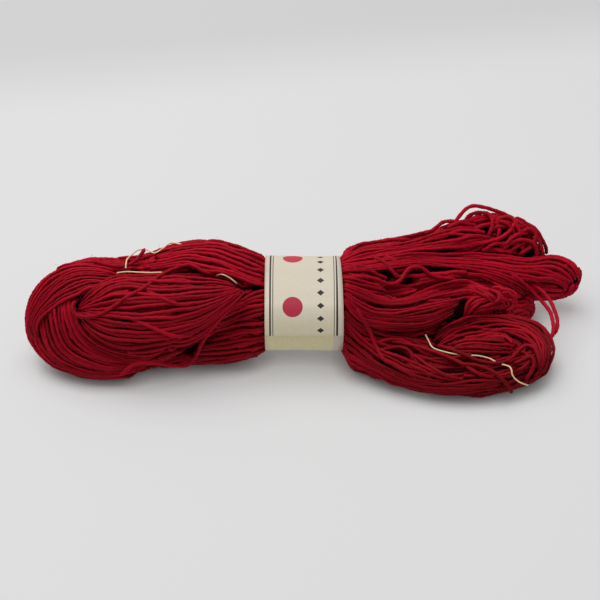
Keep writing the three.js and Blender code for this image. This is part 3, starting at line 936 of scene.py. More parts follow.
@dataclass
class Winder:
    """Winds the strands of the bundles.

    step: from one point of a strand to the next, mm.
    dome: over how long a bundle's end closes, mm.
    first, drop: depth of the first layer, and of each further one, in thicknesses of the yarn.
    jitter: how uneven the spaces between strands are, in spaces.
    sway, heave: the longest waves along the surface and in and out, for a ply and for a lobe, mm.
    crowding: how many strands of a ply go inside where it narrows, as a share at most.
    narrowest: the least width of a lobe's innermost strand, as a share of the outermost.
    end_spread, short_by: how uneven the turns at a lobe's end are, in shares and in mm.
    squareness: how soon a lobe's strands reach its full depth from its middle.
    under_band: strands further under the band's edge than this are left out, mm.
    buried, shortest: strands deeper than this or shorter than this are left out, mm.
    clear: how far strands stay from combed ones, mm.
    slimmest, fullest: the least and the most girth of a strand, as a share of the yarn.
    """

    tree: BVHTree
    combed: KDTree
    view: View
    seed: int = 11
    step: float = 3.0
    dome: float = 11.0
    first: float = 0.5
    drop: float = 0.8
    jitter: float = 0.3
    sway: tuple[float, float] = (90.0, 80.0)
    heave: tuple[float, float] = (50.0, 45.0)
    crowding: float = 0.8
    narrowest: float = 0.16
    end_spread: tuple[float, float] = (0.9, 1.1)
    short_by: tuple[float, float] = (1.2, 1.5)
    squareness: float = 1.6
    under_band: float = 5.0
    buried: float = 6.5
    shortest: float = 12.0
    clear: float = 2.2
    slimmest: float = 0.62
    fullest: float = 0.94

    def closing(self, left: Array, least: float) -> Array:
        """The share of its full size that a bundle has so many mm before its end."""
        return np.sqrt(1 - (1 - np.clip(left / self.dome, least, 1)) ** 2)

    def ply(self, bundle: Bundle, layer: int) -> list[Array]:
        """Strands that run from one end of a bundle to the other.

        Args:
            bundle: the bundle.
            layer: how many layers lie over this one.

        Returns:
            Each strand's points and girth.
        """
        track = Track(bundle.rows)
        rng = np.random.default_rng([self.seed, layer, *bundle.seed])
        widest = max(girth_round(*row[3:5]) for row in bundle.rows)
        inward = YARN * (self.first + self.drop * layer)
        count = int(widest / bundle.spacing)
        s = np.arange(0, track.long, self.step)
        centre, side, out, across, deep = track.at(s)
        middling = (across + deep) / 2
        around = 2 * math.pi * middling
        swell = self.closing(np.minimum(s, track.long - s), 0.02)
        strands = []
        for k in range(count):
            crowd = rng.uniform(0, 1) * np.clip(1 - around / widest * 1.05, 0, self.crowding)
            turn = 2 * math.pi * (k + 0.5 * layer + rng.uniform(-self.jitter, self.jitter)) / count
            turn += np.radians(bundle.turn) * (s / track.long - 0.5)
            turn = turn + wave(rng, s, bundle.wander, self.sway[0]) / middling
            sink = inward + crowd * middling - wave(rng, s, bundle.lift, self.heave[0])
            w = np.maximum(across - sink, 1) * swell * np.cos(turn)
            d = np.maximum(deep - sink, 1) * swell * np.sin(turn)
            girth = np.clip(around * swell / (count * YARN), self.slimmest, self.fullest)
            strands.append(np.column_stack([centre + side * w[:, None] + out * d[:, None], girth]))
        return strands

    def lobe(self, bundle: Bundle, layer: int) -> list[Array]:
        """Strands that go out along a lobe, turn round its end and come back.

        Args:
            bundle: the bundle.
            layer: how many layers lie over this one.

        Returns:
            Each strand's points and girth.
        """
        track = Track(bundle.rows)
        rng = np.random.default_rng([self.seed, layer, *bundle.seed])
        rows = np.array(bundle.rows)
        half_round = girth_round(rows[1:-1, 3].mean(), rows[1:-1, 4].mean()) / 2
        inward = YARN * (self.first + self.drop * layer)
        count = int(half_round / bundle.spacing)
        strands = []
        for k in range(count):
            beta = math.pi * ((k + 0.5 + rng.uniform(-self.jitter, self.jitter)) / count - 0.5)
            nest, depth = max(math.cos(beta), self.narrowest), math.sin(beta)
            end = rows[-1, 3] * rng.uniform(*self.end_spread)
            reach = track.long - end - rng.gamma(*self.short_by)
            turn = np.linspace(math.pi / 2, -math.pi / 2, max(5, int(math.pi * end * nest / 2)))
            out_leg = np.arange(0, reach, self.step)
            along = np.concatenate([out_leg, reach + nest * end * np.cos(turn), out_leg[::-1]])
            swing = np.concatenate([np.ones_like(out_leg), np.sin(turn), -np.ones_like(out_leg)])
            centre, side, out, a, d = track.at(np.minimum(along, track.long - 0.6))
            run = np.arange(len(along)) * self.step
            tip = self.closing(track.long - along, 0.1)
            a = np.where(np.abs(swing) < 1, end, a)
            w = swing * nest * (a - inward) + wave(rng, run, bundle.wander, self.sway[1])
            sink = inward - wave(rng, run, bundle.lift, self.heave[1])
            limit = np.sqrt(np.clip(1 - (w / (a + 0.5)) ** 2, 0.02, 1))
            d = d * tip * np.maximum(limit, abs(depth)) * min(abs(depth) * self.squareness, 1)
            d = np.sign(depth) * np.maximum(d - sink, 0)
            girth = np.full_like(w, self.fullest)
            strands.append(np.column_stack([centre + side * w[:, None] + out * d[:, None], girth]))
        return strands

    def shown(self, strand: Array) -> list[Array]:
        """The stretches of a strand that lie near the outside of the hank.

        Args:
            strand: its points and girth.

        Returns:
            The stretches, each with its points and girth.
        """
        depth = np.empty(len(strand))
        for i, point in enumerate(framed(strand[:, :3])):
            place, normal, _, far = self.tree.find_nearest(Vector(point))
            depth[i] = far / MM if (Vector(point) - place).dot(normal) < 0 else -far / MM
        under_band = np.abs(strand[:, 0] - BAND_MIDDLE) < BAND_WIDTH / 2 - self.under_band
        beneath = np.array([self.combed.find(Vector(p))[2] < self.clear for p in strand[:, :3]])
        kept = (depth < self.buried) & ~under_band & ~beneath
        wide = kept.copy()
        wide[1:] |= kept[:-1]
        wide[:-1] |= kept[1:]
        edges = np.flatnonzero(np.diff(np.concatenate([[0], wide.astype(int), [0]])))
        found = [strand[a:b] for a, b in zip(edges[::2], edges[1::2])]
        return [f for f in found if len(f) > 3 and lengths(f)[-1] > self.shortest]

    def wind(self, bundle: Bundle) -> list[Array]:
        """All the stretches of strand that show on one bundle.

        Args:
            bundle: the bundle.

        Returns:
            The stretches, each with its points and girth.
        """
        lay = self.ply if bundle.flow is Flow.PLY else self.lobe
        strands = [s for layer in range(bundle.layers) for s in lay(bundle, layer)]
        pieces = [piece for s in strands for piece in self.shown(settled(s))]
        for piece in pieces:
            piece[:, :3] = self.view.sunk(piece[:, :3])
        return [settled(piece) for piece in pieces]


# ---- Finishes -------------------------------------------------------------------------------


def new_group(
    name: str, kind: str, inputs: dict[str, tuple[str, object]], outputs: dict[str, str]
) -> tuple[NodeTree, Node, Node]:
    """Makes an empty node group with its sockets.

    Args:
        name: the group's name.
        kind: its tree type.
        inputs: socket types and defaults by name.
        outputs: socket types by name.

    Returns:
        The group, its input node and its output node.
    """
    group = bpy.data.node_groups.new(name, kind)
    for label, (socket_type, value) in inputs.items():
        socket = group.interface.new_socket(label, in_out="INPUT", socket_type=socket_type)
        if value is not None:
            socket.default_value = value
    for label, socket_type in outputs.items():
        group.interface.new_socket(label, in_out="OUTPUT", socket_type=socket_type)
    return group, group.nodes.new("NodeGroupInput"), group.nodes.new("NodeGroupOutput")


def feed(tree: NodeTree, socket: Socket, value: object) -> None:
    """Links a socket to another one, or sets it to a plain value.

    Args:
        tree: the node tree.
        socket: the socket to feed.
        value: a socket, a plain value, or None to leave it as it is.
    """
    if isinstance(value, Socket):
        tree.links.new(value, socket)
    elif value is not None:
        socket.default_value = value


def live(sockets: Iterable[Socket], name: str) -> Socket:
    """The socket of this name that the node's options leave in use."""
    return next(socket for socket in sockets if socket.name == name and socket.enabled)


def add(tree: NodeTree, kind: str, options: dict[str, object] | None = None, **sockets: object) -> Node:
    """Adds a node to a tree.

    Args:
        tree: where it goes.
        kind: its type.
        options: the node's own settings.
        sockets: what goes into its inputs, by name with _ for a space.

    Returns:
        The node.
    """
    node = tree.nodes.new(kind)
    for name, value in (options or {}).items():
        setattr(node, name, value)
    for name, value in sockets.items():
        feed(tree, live(node.inputs, name.replace("_", " ")), value)
    return node


def maths(tree: NodeTree, operation: str, *values: object, clamp: bool = False) -> Socket:
    """Adds a Math node and returns its output.

    Args:
        tree: the node tree.
        operation: the node's operation.
        values: what goes into its inputs, in order.
        clamp: whether the result is kept from 0 to 1.

    Returns:
        The result.
    """
    node = add(tree, "ShaderNodeMath", {"operation": operation, "use_clamp": clamp})
    for socket, value in zip(node.inputs, values):
        feed(tree, socket, value)
    return node.outputs[0]


def blend(tree: NodeTree, factor: object, a: object, b: object, mode: str = "MIX") -> Socket:
    """Blends two colours."""
    options = {"data_type": "RGBA", "blend_type": mode}
    return live(add(tree, "ShaderNodeMix", options, Factor=factor, A=a, B=b).outputs, "Result")


def shaded(tree: NodeTree, colour: Socket, lightness: Socket) -> Socket:
    """A colour made darker or lighter all over by a number."""
    grey = add(tree, "ShaderNodeCombineColor", Red=lightness, Green=lightness, Blue=lightness)
    return blend(tree, 1.0, colour, grey.outputs[0], "MULTIPLY")


def noise(tree: NodeTree, place: Socket, scale: object, detail: float = 2.0) -> Socket:
    """A soft random value at each place."""
    return add(tree, "ShaderNodeTexNoise", Vector=place, Scale=scale, Detail=detail).outputs["Fac"]


def ramp(tree: NodeTree, value: Socket, start: float, end: float) -> Socket:
    """0 at start and 1 at end, with a smooth change between them.

    Args:
        tree: the node tree.
        value: what changes.
        start: where the result is 0.
        end: where it is 1.

    Returns:
        The result.
    """
    smooth = {"interpolation_type": "SMOOTHSTEP"}
    node = add(tree, "ShaderNodeMapRange", smooth, Value=value, From_Min=start, From_Max=end)
    return live(node.outputs, "Result")


def position(tree: NodeTree) -> Socket:
    """The place on a piece in its own coordinates, m."""
    return add(tree, "ShaderNodeTexCoord").outputs["Object"]


def surface_map(tree: NodeTree) -> Socket:
    """The place on a piece in its own UV map."""
    return add(tree, "ShaderNodeUVMap", {"uv_map": UV_MAP}).outputs[0]


def split(tree: NodeTree, vector: Socket) -> tuple[Socket, Socket, Socket]:
    """The three parts of a vector."""
    return tuple(add(tree, "ShaderNodeSeparateXYZ", Vector=vector).outputs)


class Coat:
    """A new material with its node tree and its Principled shader."""

    def __init__(self, name: str) -> None:
        """Makes the material.

        Args:
            name: the material's name.
        """
        self.made = bpy.data.materials.new(name)
        self.made.use_nodes = True
        self.tree = self.made.node_tree
        self.shader = self.tree.nodes["Principled BSDF"]

    def dress(self, **sockets: object) -> None:
        """Feeds the shader's inputs, by name with _ for a space."""
        for name, value in sockets.items():
            feed(self.tree, self.shader.inputs[name.replace("_", " ")], value)

    def bump(self, height: Socket, relief: float, strength: float = 1.0) -> None:
        """Adds fine relief, so many metres deep."""
        node = add(self.tree, "ShaderNodeBump", Strength=strength, Distance=relief, Height=height)
        self.dress(Normal=node.outputs[0])


@dataclass(frozen=True)
class SpunFibres:
    """The effect of spun fibres, from a strand's own girth and length.

    turns: how often the fibres go round in a metre.
    fineness, streaks: how fine they are round the strand, and along each metre of it.
    darkest, contrast: how dark the grooves are, as painted shade, and how much lighter the fibres.
    """

    turns: float = 110.0
    fineness: float = 5.0
    streaks: float = 160.0
    detail: float = 3.0
    darkest: float = 0.7
    contrast: float = 0.6

    def group(self) -> NodeTree:
        """Builds the group, which puts out a height and a lightness.

        Returns:
            The group.
        """
        tree, inside, outside = new_group(
            "spun_fibres",
            "ShaderNodeTree",
            {"Turns per metre": (FLOAT, self.turns), "Fineness": (FLOAT, self.fineness)},
            {"Height": FLOAT, "Lightness": FLOAT},
        )
        around, along, _ = split(tree, surface_map(tree))
        twist = maths(tree, "MULTIPLY", along, inside.outputs["Turns per metre"])
        angle = maths(tree, "MULTIPLY", maths(tree, "ADD", around, twist), 2 * math.pi)
        fine = inside.outputs["Fineness"]
        place = add(
            tree,
            "ShaderNodeCombineXYZ",
            X=maths(tree, "MULTIPLY", maths(tree, "SINE", angle), fine),
            Y=maths(tree, "MULTIPLY", maths(tree, "COSINE", angle), fine),
            Z=maths(tree, "MULTIPLY", along, self.streaks),
        )
        fibres = noise(tree, place.outputs[0], 1.0, self.detail)
        # random fibre tone, with painted shade where the fibres' height is low
        lightness = maths(tree, "MULTIPLY_ADD", fibres, self.contrast, self.darkest)
        feed(tree, outside.inputs["Height"], fibres)
        feed(tree, outside.inputs["Lightness"], lightness)
        return tree


@dataclass(frozen=True)
class DyeAndPaintedShade:
    """Slow changes of lightness from dyeing, and painted shade over the front, darkest at its right.

    patches: how many patches there are to the metre.
    contrast, offset: how strong they are, and how light.
    right, front: from where to where the painted shade deepens to the right and to the front, m.
    front_painted_shade, corner_painted_shade: how much painted shade darkens the front, and more at its
    right.
    """

    patches: float = 22.0
    detail: float = 3.0
    contrast: float = 1.6
    offset: float = -0.3
    right: tuple[float, float] = (0.02, 0.06)
    front: tuple[float, float] = (-0.005, -0.04)
    front_painted_shade: float = 0.35
    corner_painted_shade: float = 0.9

    def group(self) -> NodeTree:
        """Builds the group, which puts out a lightness.

        Returns:
            The group.
        """
        inputs = {"Patch scale": (FLOAT, self.patches)}
        tree, inside, outside = new_group("hand_dye", "ShaderNodeTree", inputs, {"Lightness": FLOAT})
        place = position(tree)
        patches = noise(tree, place, inside.outputs["Patch scale"], self.detail)
        lightness = maths(tree, "MULTIPLY_ADD", patches, self.contrast, self.offset, clamp=True)
        x, y, _ = split(tree, place)
        right, front = (
            maths(tree, "MULTIPLY_ADD", axis, 1 / (end - start), -start / (end - start), clamp=True)
            for axis, (start, end) in ((x, self.right), (y, self.front))
        )
        # painted shade: darker toward the front, most at the front right
        share = maths(tree, "MULTIPLY_ADD", right, self.corner_painted_shade, self.front_painted_shade)
        deeper = maths(tree, "SUBTRACT", lightness, maths(tree, "MULTIPLY", front, share))
        feed(tree, outside.inputs["Lightness"], deeper)
        return tree


@dataclass(frozen=True)
class YarnFinish:
    """Softly plied, hand-dyed yarn.

    deep, bright: its darkest and lightest colours.
    dye_and_shade_share, strand_share: shares of dyeing with painted shade, and of strand to strand change.
    sheen, fuzz: the strength and colour of the soft light on its fibres.
    relief, bump: the depth of its fibres, m, and how strongly they show.
    """

    name: str = "yarn"
    deep: Colour = (0.2, 0.001, 0.005, 1)
    bright: Colour = (0.56, 0.003, 0.024, 1)
    dye_and_shade_share: float = 0.45
    strand_share: float = 0.55
    roughness: float = 0.6
    specular: float = 0.1
    sheen: float = 0.32
    sheen_roughness: float = 0.4
    fuzz: Colour = (0.65, 0.035, 0.11, 1)
    relief: float = 0.0004
    bump: float = 0.35

    def material(self, fibres: NodeTree, dye: NodeTree) -> Material:
        """Builds the material from the two shared effects.

        Args:
            fibres: the effect of spun fibres, with painted shade in their grooves.
            dye: uneven dyeing, with painted shade at the front.

        Returns:
            The material.
        """
        coat = Coat(self.name)
        tree = coat.tree
        # dyed carries uneven dyeing and painted shade at the front
        spun, dyed = (add(tree, "ShaderNodeGroup", {"node_tree": group}) for group in (fibres, dye))
        tint = add(tree, "ShaderNodeAttribute", {"attribute_name": "tint"})
        patches = maths(tree, "MULTIPLY", dyed.outputs["Lightness"], self.dye_and_shade_share)
        mixed = maths(tree, "MULTIPLY_ADD", tint.outputs["Fac"], self.strand_share, patches, clamp=True)
        colour = blend(tree, mixed, self.deep, self.bright)
        coat.dress(
            Base_Color=shaded(tree, colour, spun.outputs["Lightness"]),
            Roughness=self.roughness,
            Specular_IOR_Level=self.specular,
            Sheen_Weight=self.sheen,
            Sheen_Tint=self.fuzz,
            Sheen_Roughness=self.sheen_roughness,
        )
        coat.bump(spun.outputs["Height"], self.relief, self.bump)
        return coat.made


@dataclass(frozen=True)
class PaintedShadeInsideFinish:
    """The hank's inside seen between strands, painted near black as shade, with coarse fibres along it."""

    name: str = "yarn_inside"
    deep: Colour = (0.008, 0.0002, 0.0004, 1)
    bright: Colour = (0.022, 0.0005, 0.001, 1)
    stretch: tuple[float, float, float] = (0.2, 1, 1)
    grain: tuple[float, float] = (420.0, 3.0)
    roughness: float = 0.95
    specular: float = 0.05
    relief: float = 0.0015

    def material(self) -> Material:
        """Builds the material with the fibres in its colour and bump.

        Returns:
            The material.
        """
        coat = Coat(self.name)
        tree = coat.tree
        place = add(tree, "ShaderNodeMapping", Vector=position(tree), Scale=self.stretch)
        grain = noise(tree, place.outputs[0], *self.grain)
        colour = blend(tree, grain, self.deep, self.bright)
        coat.dress(Base_Color=colour, Roughness=self.roughness, Specular_IOR_Level=self.specular)
        coat.bump(grain, self.relief)
        return coat.made


@dataclass(frozen=True)
class ThreadFinish:
    """Fine gold-coloured tie thread."""

    name: str = "tie_thread"
    dark: Colour = (0.8, 0.45, 0.2, 1)
    light: Colour = (1.0, 0.82, 0.56, 1)
    grain: float = 1600.0
    roughness: float = 0.5
    relief: float = 0.0002

    def material(self) -> Material:
        """Builds the material with the thread's fibres in its colour and bump.

        Returns:
            The material.
        """
        coat = Coat(self.name)
        grain = noise(coat.tree, position(coat.tree), self.grain)
        coat.dress(Base_Color=blend(coat.tree, grain, self.dark, self.light), Roughness=self.roughness)
        coat.bump(grain, self.relief)
        return coat.made


@dataclass(frozen=True)
class PaperFinish:
    """Cream paper with a plain printed border and spots. All its sizes are in band widths.

    turn, bare: once round the band, and how much of its end is unprinted.
    painted_light_fade: from where to where painted light turns the paper from its plain colour to fresh.
    glue_start, glue_edge, glue_side: where the yellowed paper fades, round and across the band.
    glue_above, glue_grain: how strong it is above the lap, and how the grain changes it.
    edge_fades: where the pink tint fades at each cut edge.
    rule_lines: the middle and half width of each printed line.
    lozenge_row, spot_row: how far across the band the marks stand.
    """

    name: str = "band_paper"
    paper: Colour = (0.62, 0.555, 0.445, 1)
    fresh: Colour = (0.8, 0.72, 0.57, 1)
    ink: Colour = (0.03, 0.028, 0.026, 1)
    crimson: Colour = (0.5, 0.025, 0.06, 1)
    glue: Colour = (0.8, 0.71, 0.38, 1)
    edge_pink: Colour = (0.72, 0.42, 0.40, 1)
    turn: float = 3.871
    bare: float = 0.62
    painted_light_fade: tuple[float, float] = (0.95, 0.35)
    glue_start: tuple[float, float] = (0.24, 0.2)
    glue_edge: float = 0.04
    glue_side: tuple[float, float] = (0.9, 0.87)
    glue_above: float = 0.45
    glue_grain: tuple[float, float] = (0.5, 0.45)
    edge_fades: tuple[tuple[float, float], ...] = ((0.022, 0.0), (0.975, 1.0))
    rule_lines: tuple[tuple[float, float], ...] = (
        (0.07, 0.011), (0.105, 0.005), (0.93, 0.011), (0.895, 0.005),
    )
    lozenge_row: float = 0.72
    lozenge_size: float = 0.038
    lozenge_slim: float = 0.8
    lozenges_per_width: float = 6.0
    spot_row: float = 0.36
    spot_size: float = 0.13
    spots_per_width: float = 1.25
    grain: tuple[float, float] = (700.0, 4.0)
    tone: tuple[float, float] = (0.12, 0.94)
    roughness: float = 0.7
    relief: float = 0.0002
    bump: float = 0.25

    def material(self) -> Material:
        """Builds the material with fibres in the paper and the print on it.

        Returns:
            The material.
        """
        coat = Coat(self.name)
        tree = coat.tree
        u, v, _ = split(tree, surface_map(tree))
        grain = noise(tree, position(tree), *self.grain)
        # painted light: the paper is lighter on its front above the lap's edge, fading toward the top
        colour = blend(tree, ramp(tree, v, *self.painted_light_fade), self.paper, self.fresh)
        colour = blend(tree, self.glued(tree, u, v, grain), colour, self.glue)
        colour = blend(tree, self.edge_tinted(tree, u, grain), colour, self.edge_pink)
        colour = shaded(tree, colour, maths(tree, "MULTIPLY_ADD", grain, *self.tone))
        printed = maths(tree, "LESS_THAN", v, self.turn - self.bare)
        black = maths(tree, "MAXIMUM", self.rules(tree, u), self.lozenges(tree, u, v))
        for marks, ink in ((black, self.ink), (self.spots(tree, u, v), self.crimson)):
            colour = blend(tree, maths(tree, "MULTIPLY", marks, printed), colour, ink)
        coat.dress(Base_Color=colour, Roughness=self.roughness)
        coat.bump(grain, self.relief, self.bump)
        return coat.made

    @staticmethod
    def apart(tree: NodeTree, value: Socket, middle: float) -> Socket:
        """How far a value is from a middle."""
        return maths(tree, "ABSOLUTE", maths(tree, "SUBTRACT", value, middle))

    def repeated(self, tree: NodeTree, v: Socket, often: float) -> Socket:
        """How far a place is, along the band, from the nearest of so many marks to the width."""
        share = maths(tree, "FRACT", maths(tree, "MULTIPLY", v, often))
        return maths(tree, "DIVIDE", self.apart(tree, share, 0.5), often)

    def glued(self, tree: NodeTree, u: Socket, v: Socket, grain: Socket) -> Socket:
        """The yellowed paper on both sides of the lap.

        Args:
            tree: the node tree.
            u: the place across the band.
            v: the place round it.
            grain: the paper's grain.

        Returns:
            How yellow the paper is.
        """
        above = maths(tree, "MULTIPLY", ramp(tree, v, *self.glue_start), self.glue_above)
        printed = self.turn - self.bare
        below = ramp(tree, v, printed, printed + self.glue_edge)
        share = maths(tree, "MULTIPLY", maths(tree, "ADD", above, below), ramp(tree, u, *self.glue_side))
        uneven = maths(tree, "MULTIPLY_ADD", grain, *self.glue_grain)
        return maths(tree, "MULTIPLY", share, uneven, clamp=True)

    def edge_tinted(self, tree: NodeTree, u: Socket, grain: Socket) -> Socket:
        """A faint pink tint along both cut edges."""
        near = maths(tree, "ADD", *(ramp(tree, u, *edge) for edge in self.edge_fades))
        return maths(tree, "MULTIPLY", near, grain, clamp=True)

    def rules(self, tree: NodeTree, u: Socket) -> Socket:
        """A double rule along each side of the band."""
        lines = [maths(tree, "LESS_THAN", self.apart(tree, u, m), half) for m, half in self.rule_lines]
        return reduce(lambda a, b: maths(tree, "MAXIMUM", a, b), lines)

    def lozenges(self, tree: NodeTree, u: Socket, v: Socket) -> Socket:
        """A row of small lozenges right of the middle.

        Args:
            tree: the node tree.
            u: the place across the band.
            v: the place round it.

        Returns:
            1 on a lozenge.
        """
        across = maths(tree, "MULTIPLY", self.apart(tree, u, self.lozenge_row), self.lozenge_slim)
        along = self.repeated(tree, v, self.lozenges_per_width)
        return maths(tree, "LESS_THAN", maths(tree, "ADD", across, along), self.lozenge_size)

    def spots(self, tree: NodeTree, u: Socket, v: Socket) -> Socket:
        """Crimson discs left of the middle.

        Args:
            tree: the node tree.
            u: the place across the band.
            v: the place round it.

        Returns:
            1 on a disc.
        """
        sides = self.apart(tree, u, self.spot_row), self.repeated(tree, v, self.spots_per_width)
        squares = maths(tree, "ADD", *(maths(tree, "POWER", side, 2.0) for side in sides))
        return maths(tree, "LESS_THAN", maths(tree, "SQRT", squares), self.spot_size)


@dataclass(frozen=True)
class FloorFinish:
    """A pale surface, a little darker far behind as painted shade, with a painted glow.

    change, soft, slant: where painted shade darkens it, over how much to each side, m, and how far that line
    turns.
    glow, contact: a painted glow in its shade, and how close a thing is that takes this away as painted
    contact shadow, m.
    """

    name: str = "pale_floor"
    near: Colour = (0.41, 0.41, 0.41, 1)
    far: Colour = (0.315, 0.312, 0.315, 1)
    change: float = 0.33
    soft: float = 0.06
    slant: float = -0.2
    glow: float = 0.3
    contact: float = 0.01
    roughness: float = 0.85
    specular: float = 0.2

    def material(self) -> Material:
        """Builds the material.

        Returns:
            The material.
        """
        coat = Coat(self.name)
        tree = coat.tree
        x, y, _ = split(tree, position(tree))
        back = maths(tree, "MULTIPLY_ADD", x, self.slant, y)
        # painted shade: the floor is darker far behind
        behind = ramp(tree, back, self.change - self.soft, self.change + self.soft)
        # painted glow that lifts the floor's shade, taken away near things as painted contact shadow
        contact_shade = add(tree, "ShaderNodeAmbientOcclusion", Distance=self.contact)
        coat.dress(
            Base_Color=blend(tree, behind, self.near, self.far),
            Roughness=self.roughness,
            Specular_IOR_Level=self.specular,
            Emission_Color=contact_shade.outputs["Color"],
            Emission_Strength=self.glow,
        )
        return coat.made


# ---- Node trees that make the yarn ----------------------------------------------------------


class YarnTree:
    """Geometry Nodes that spin a tube of plied yarn along every edge chain of a mesh."""

    INPUTS = {
        "Thickness": (FLOAT, YARN * MM),
        "Flatness": (FLOAT, 0.88),
        "Ply length": (FLOAT, 0.0095),
        "Step": (FLOAT, 0.0015),
        "Sides": ("NodeSocketInt", 8),
        "Wobble": (FLOAT, 0.0004),
        "Wobbles per metre": (FLOAT, 95.0),
        "Taper": (FLOAT, 0.002),
        "Seed": ("NodeSocketInt", 3),
        "Material": ("NodeSocketMaterial", None),
    }
    WELD = 2e-5  # points closer than this are one, m

    def __init__(self) -> None:
        """Builds the tree once."""
        inputs = {"Chains": ("NodeSocketGeometry", None), **self.INPUTS}
        self.tree, self.inside, outside = new_group(
            "spin_yarn", "GeometryNodeTree", inputs, {"Yarn": "NodeSocketGeometry"}
        )
        feed(self.tree, outside.inputs["Yarn"], self.finished(self.tube(self.resampled())))

    def add(self, kind: str, options: dict[str, object] | None = None, **sockets: object) -> Node:
        """Adds a node to the tree."""
        return add(self.tree, kind, options, **sockets)

    def maths(self, operation: str, *values: object, clamp: bool = False) -> Socket:
        """Adds a Math node to the tree and returns its output."""
        return maths(self.tree, operation, *values, clamp=clamp)

    def value(self, name: str) -> Socket:
        """One of the tree's inputs."""
        return self.inside.outputs[name]

    def resampled(self) -> Socket:
        """The chains as smooth lines, evenly stepped and a little uneven.

        Returns:
            The lines.
        """
        chains = self.add("GeometryNodeMeshToCurve", Mesh=self.value("Chains")).outputs[0]
        smooth = self.add("GeometryNodeCurveSplineType", {"spline_type": "CATMULL_ROM"}, Curve=chains)
        by_length, step = {"mode": "LENGTH"}, self.value("Step")
        even = self.add("GeometryNodeResampleCurve", by_length, Curve=smooth.outputs[0], Length=step)
        which = self.add("GeometryNodeCurveOfPoint").outputs[0]
        sway = self.add(
            "ShaderNodeTexNoise",
            {"noise_dimensions": "4D"},
            Vector=self.add("GeometryNodeInputPosition").outputs[0],
            W=self.maths("MULTIPLY_ADD", which, 3.17, self.value("Seed")),
            Scale=self.value("Wobbles per metre"),
            Detail=1.0,
        )
        centred = self.add("ShaderNodeVectorMath", {"operation": "SUBTRACT"})
        feed(self.tree, centred.inputs[0], sway.outputs["Color"])
        feed(self.tree, centred.inputs[1], (0.5, 0.5, 0.5))
        scaled = self.add("ShaderNodeVectorMath", {"operation": "SCALE"})
        feed(self.tree, scaled.inputs[0], centred.outputs[0])
        feed(self.tree, scaled.inputs["Scale"], self.maths("MULTIPLY", self.value("Wobble"), 4.0))
        moved = self.add("GeometryNodeSetPosition", Geometry=even.outputs[0], Offset=scaled.outputs[0])
        return moved.outputs[0]

    def twisted(self, lines: Socket, along: Socket) -> Socket:
        """The lines turned as the plies turn, each from its own start.

        Args:
            lines: the lines.
            along: the distance along each.

        Returns:
            The lines.
        """
        which = self.add("GeometryNodeCurveOfPoint").outputs[0]
        random = {"data_type": "FLOAT"}
        phase = self.add("FunctionNodeRandomValue", random, ID=which, Seed=self.value("Seed"))
        turns = self.maths("DIVIDE", along, self.value("Ply length"))
        turns = self.maths("ADD", turns, live(phase.outputs, "Value"))
        tilt = self.maths("MULTIPLY", turns, 2 * math.pi)
        return self.add("GeometryNodeSetCurveTilt", Curve=lines, Tilt=tilt).outputs[0]

    def rounding(self, along: Socket) -> Socket:
        """The share of its full girth that a strand has near its ends.

        Args:
            along: the distance along each strand.

        Returns:
            The share.
        """
        total = self.add("GeometryNodeSplineLength").outputs["Length"]
        near_end = self.maths("MINIMUM", along, self.maths("SUBTRACT", total, along))
        share = self.maths("DIVIDE", near_end, self.value("Taper"), clamp=True)
        square = self.maths("POWER", self.maths("SUBTRACT", 1.0, share), 2.0)
        return self.maths("SQRT", self.maths("SUBTRACT", 1.0, square))

    def section(self) -> Socket:
        """The oval section of the yarn, with the place round it stored.

        Returns:
            The closed outline.
        """
        ring = self.add(
            "GeometryNodeCurveArc",
            Radius=self.maths("MULTIPLY", self.value("Thickness"), 0.5),
            Resolution=self.maths("ADD", self.value("Sides"), 1.0),
            Sweep_Angle=2 * math.pi,
        )
        squeeze = self.add("ShaderNodeCombineXYZ", X=1.0, Y=self.value("Flatness"), Z=1.0)
        oval = self.add("GeometryNodeTransform", Geometry=ring.outputs["Curve"], Scale=squeeze.outputs[0])
        around = self.add("GeometryNodeSplineParameter").outputs["Factor"]
        return self.store(oval.outputs[0], "around", "FLOAT", "POINT", around)

    def tube(self, lines: Socket) -> Socket:
        """The lines as twisted tubes that close at both ends, with their UV stored.

        Args:
            lines: the strands' middle lines.

        Returns:
            The mesh.
        """
        along = self.add("GeometryNodeSplineParameter").outputs["Length"]
        stored = self.store(self.twisted(lines, along), "along", "FLOAT", "POINT", along)
        mesh = self.add(
            "GeometryNodeCurveToMesh",
            Curve=stored,
            Profile_Curve=self.section(),
            Scale=self.maths("MULTIPLY", self.rounding(along), self.named("girth")),
        )
        return mesh.outputs[0]

    def store(self, geometry: Socket, name: str, kind: str, domain: str, value: Socket) -> Socket:
        """Stores a named attribute and returns the geometry.

        Args:
            geometry: what it is stored on.
            name: the attribute's name.
            kind: its data type.
            domain: where it is stored.
            value: the attribute.

        Returns:
            The geometry.
        """
        options = {"data_type": kind, "domain": domain}
        node = self.add("GeometryNodeStoreNamedAttribute", options, Geometry=geometry, Name=name, Value=value)
        return node.outputs[0]

    def named(self, name: str) -> Socket:
        """Reads a named number."""
        node = self.add("GeometryNodeInputNamedAttribute", {"data_type": "FLOAT"}, Name=name)
        return live(node.outputs, "Attribute")

    def finished(self, mesh: Socket) -> Socket:
        """The tubes with UV, closed seams, smooth faces and their material.

        Args:
            mesh: the bare tubes.

        Returns:
            The dressed mesh.
        """
        place = self.add("ShaderNodeCombineXYZ", X=self.named("around"), Y=self.named("along"))
        mapped = self.store(mesh, UV_MAP, "FLOAT2", "CORNER", place.outputs[0])
        merged = self.add("GeometryNodeMergeByDistance", Geometry=mapped, Distance=self.WELD)
        smooth = self.add("GeometryNodeSetShadeSmooth", Geometry=merged.outputs[0])
        real = self.add("GeometryNodeRealizeInstances", Geometry=smooth.outputs[0])
        material = self.value("Material")
        return self.add("GeometryNodeSetMaterial", Geometry=real.outputs[0], Material=material).outputs[0]

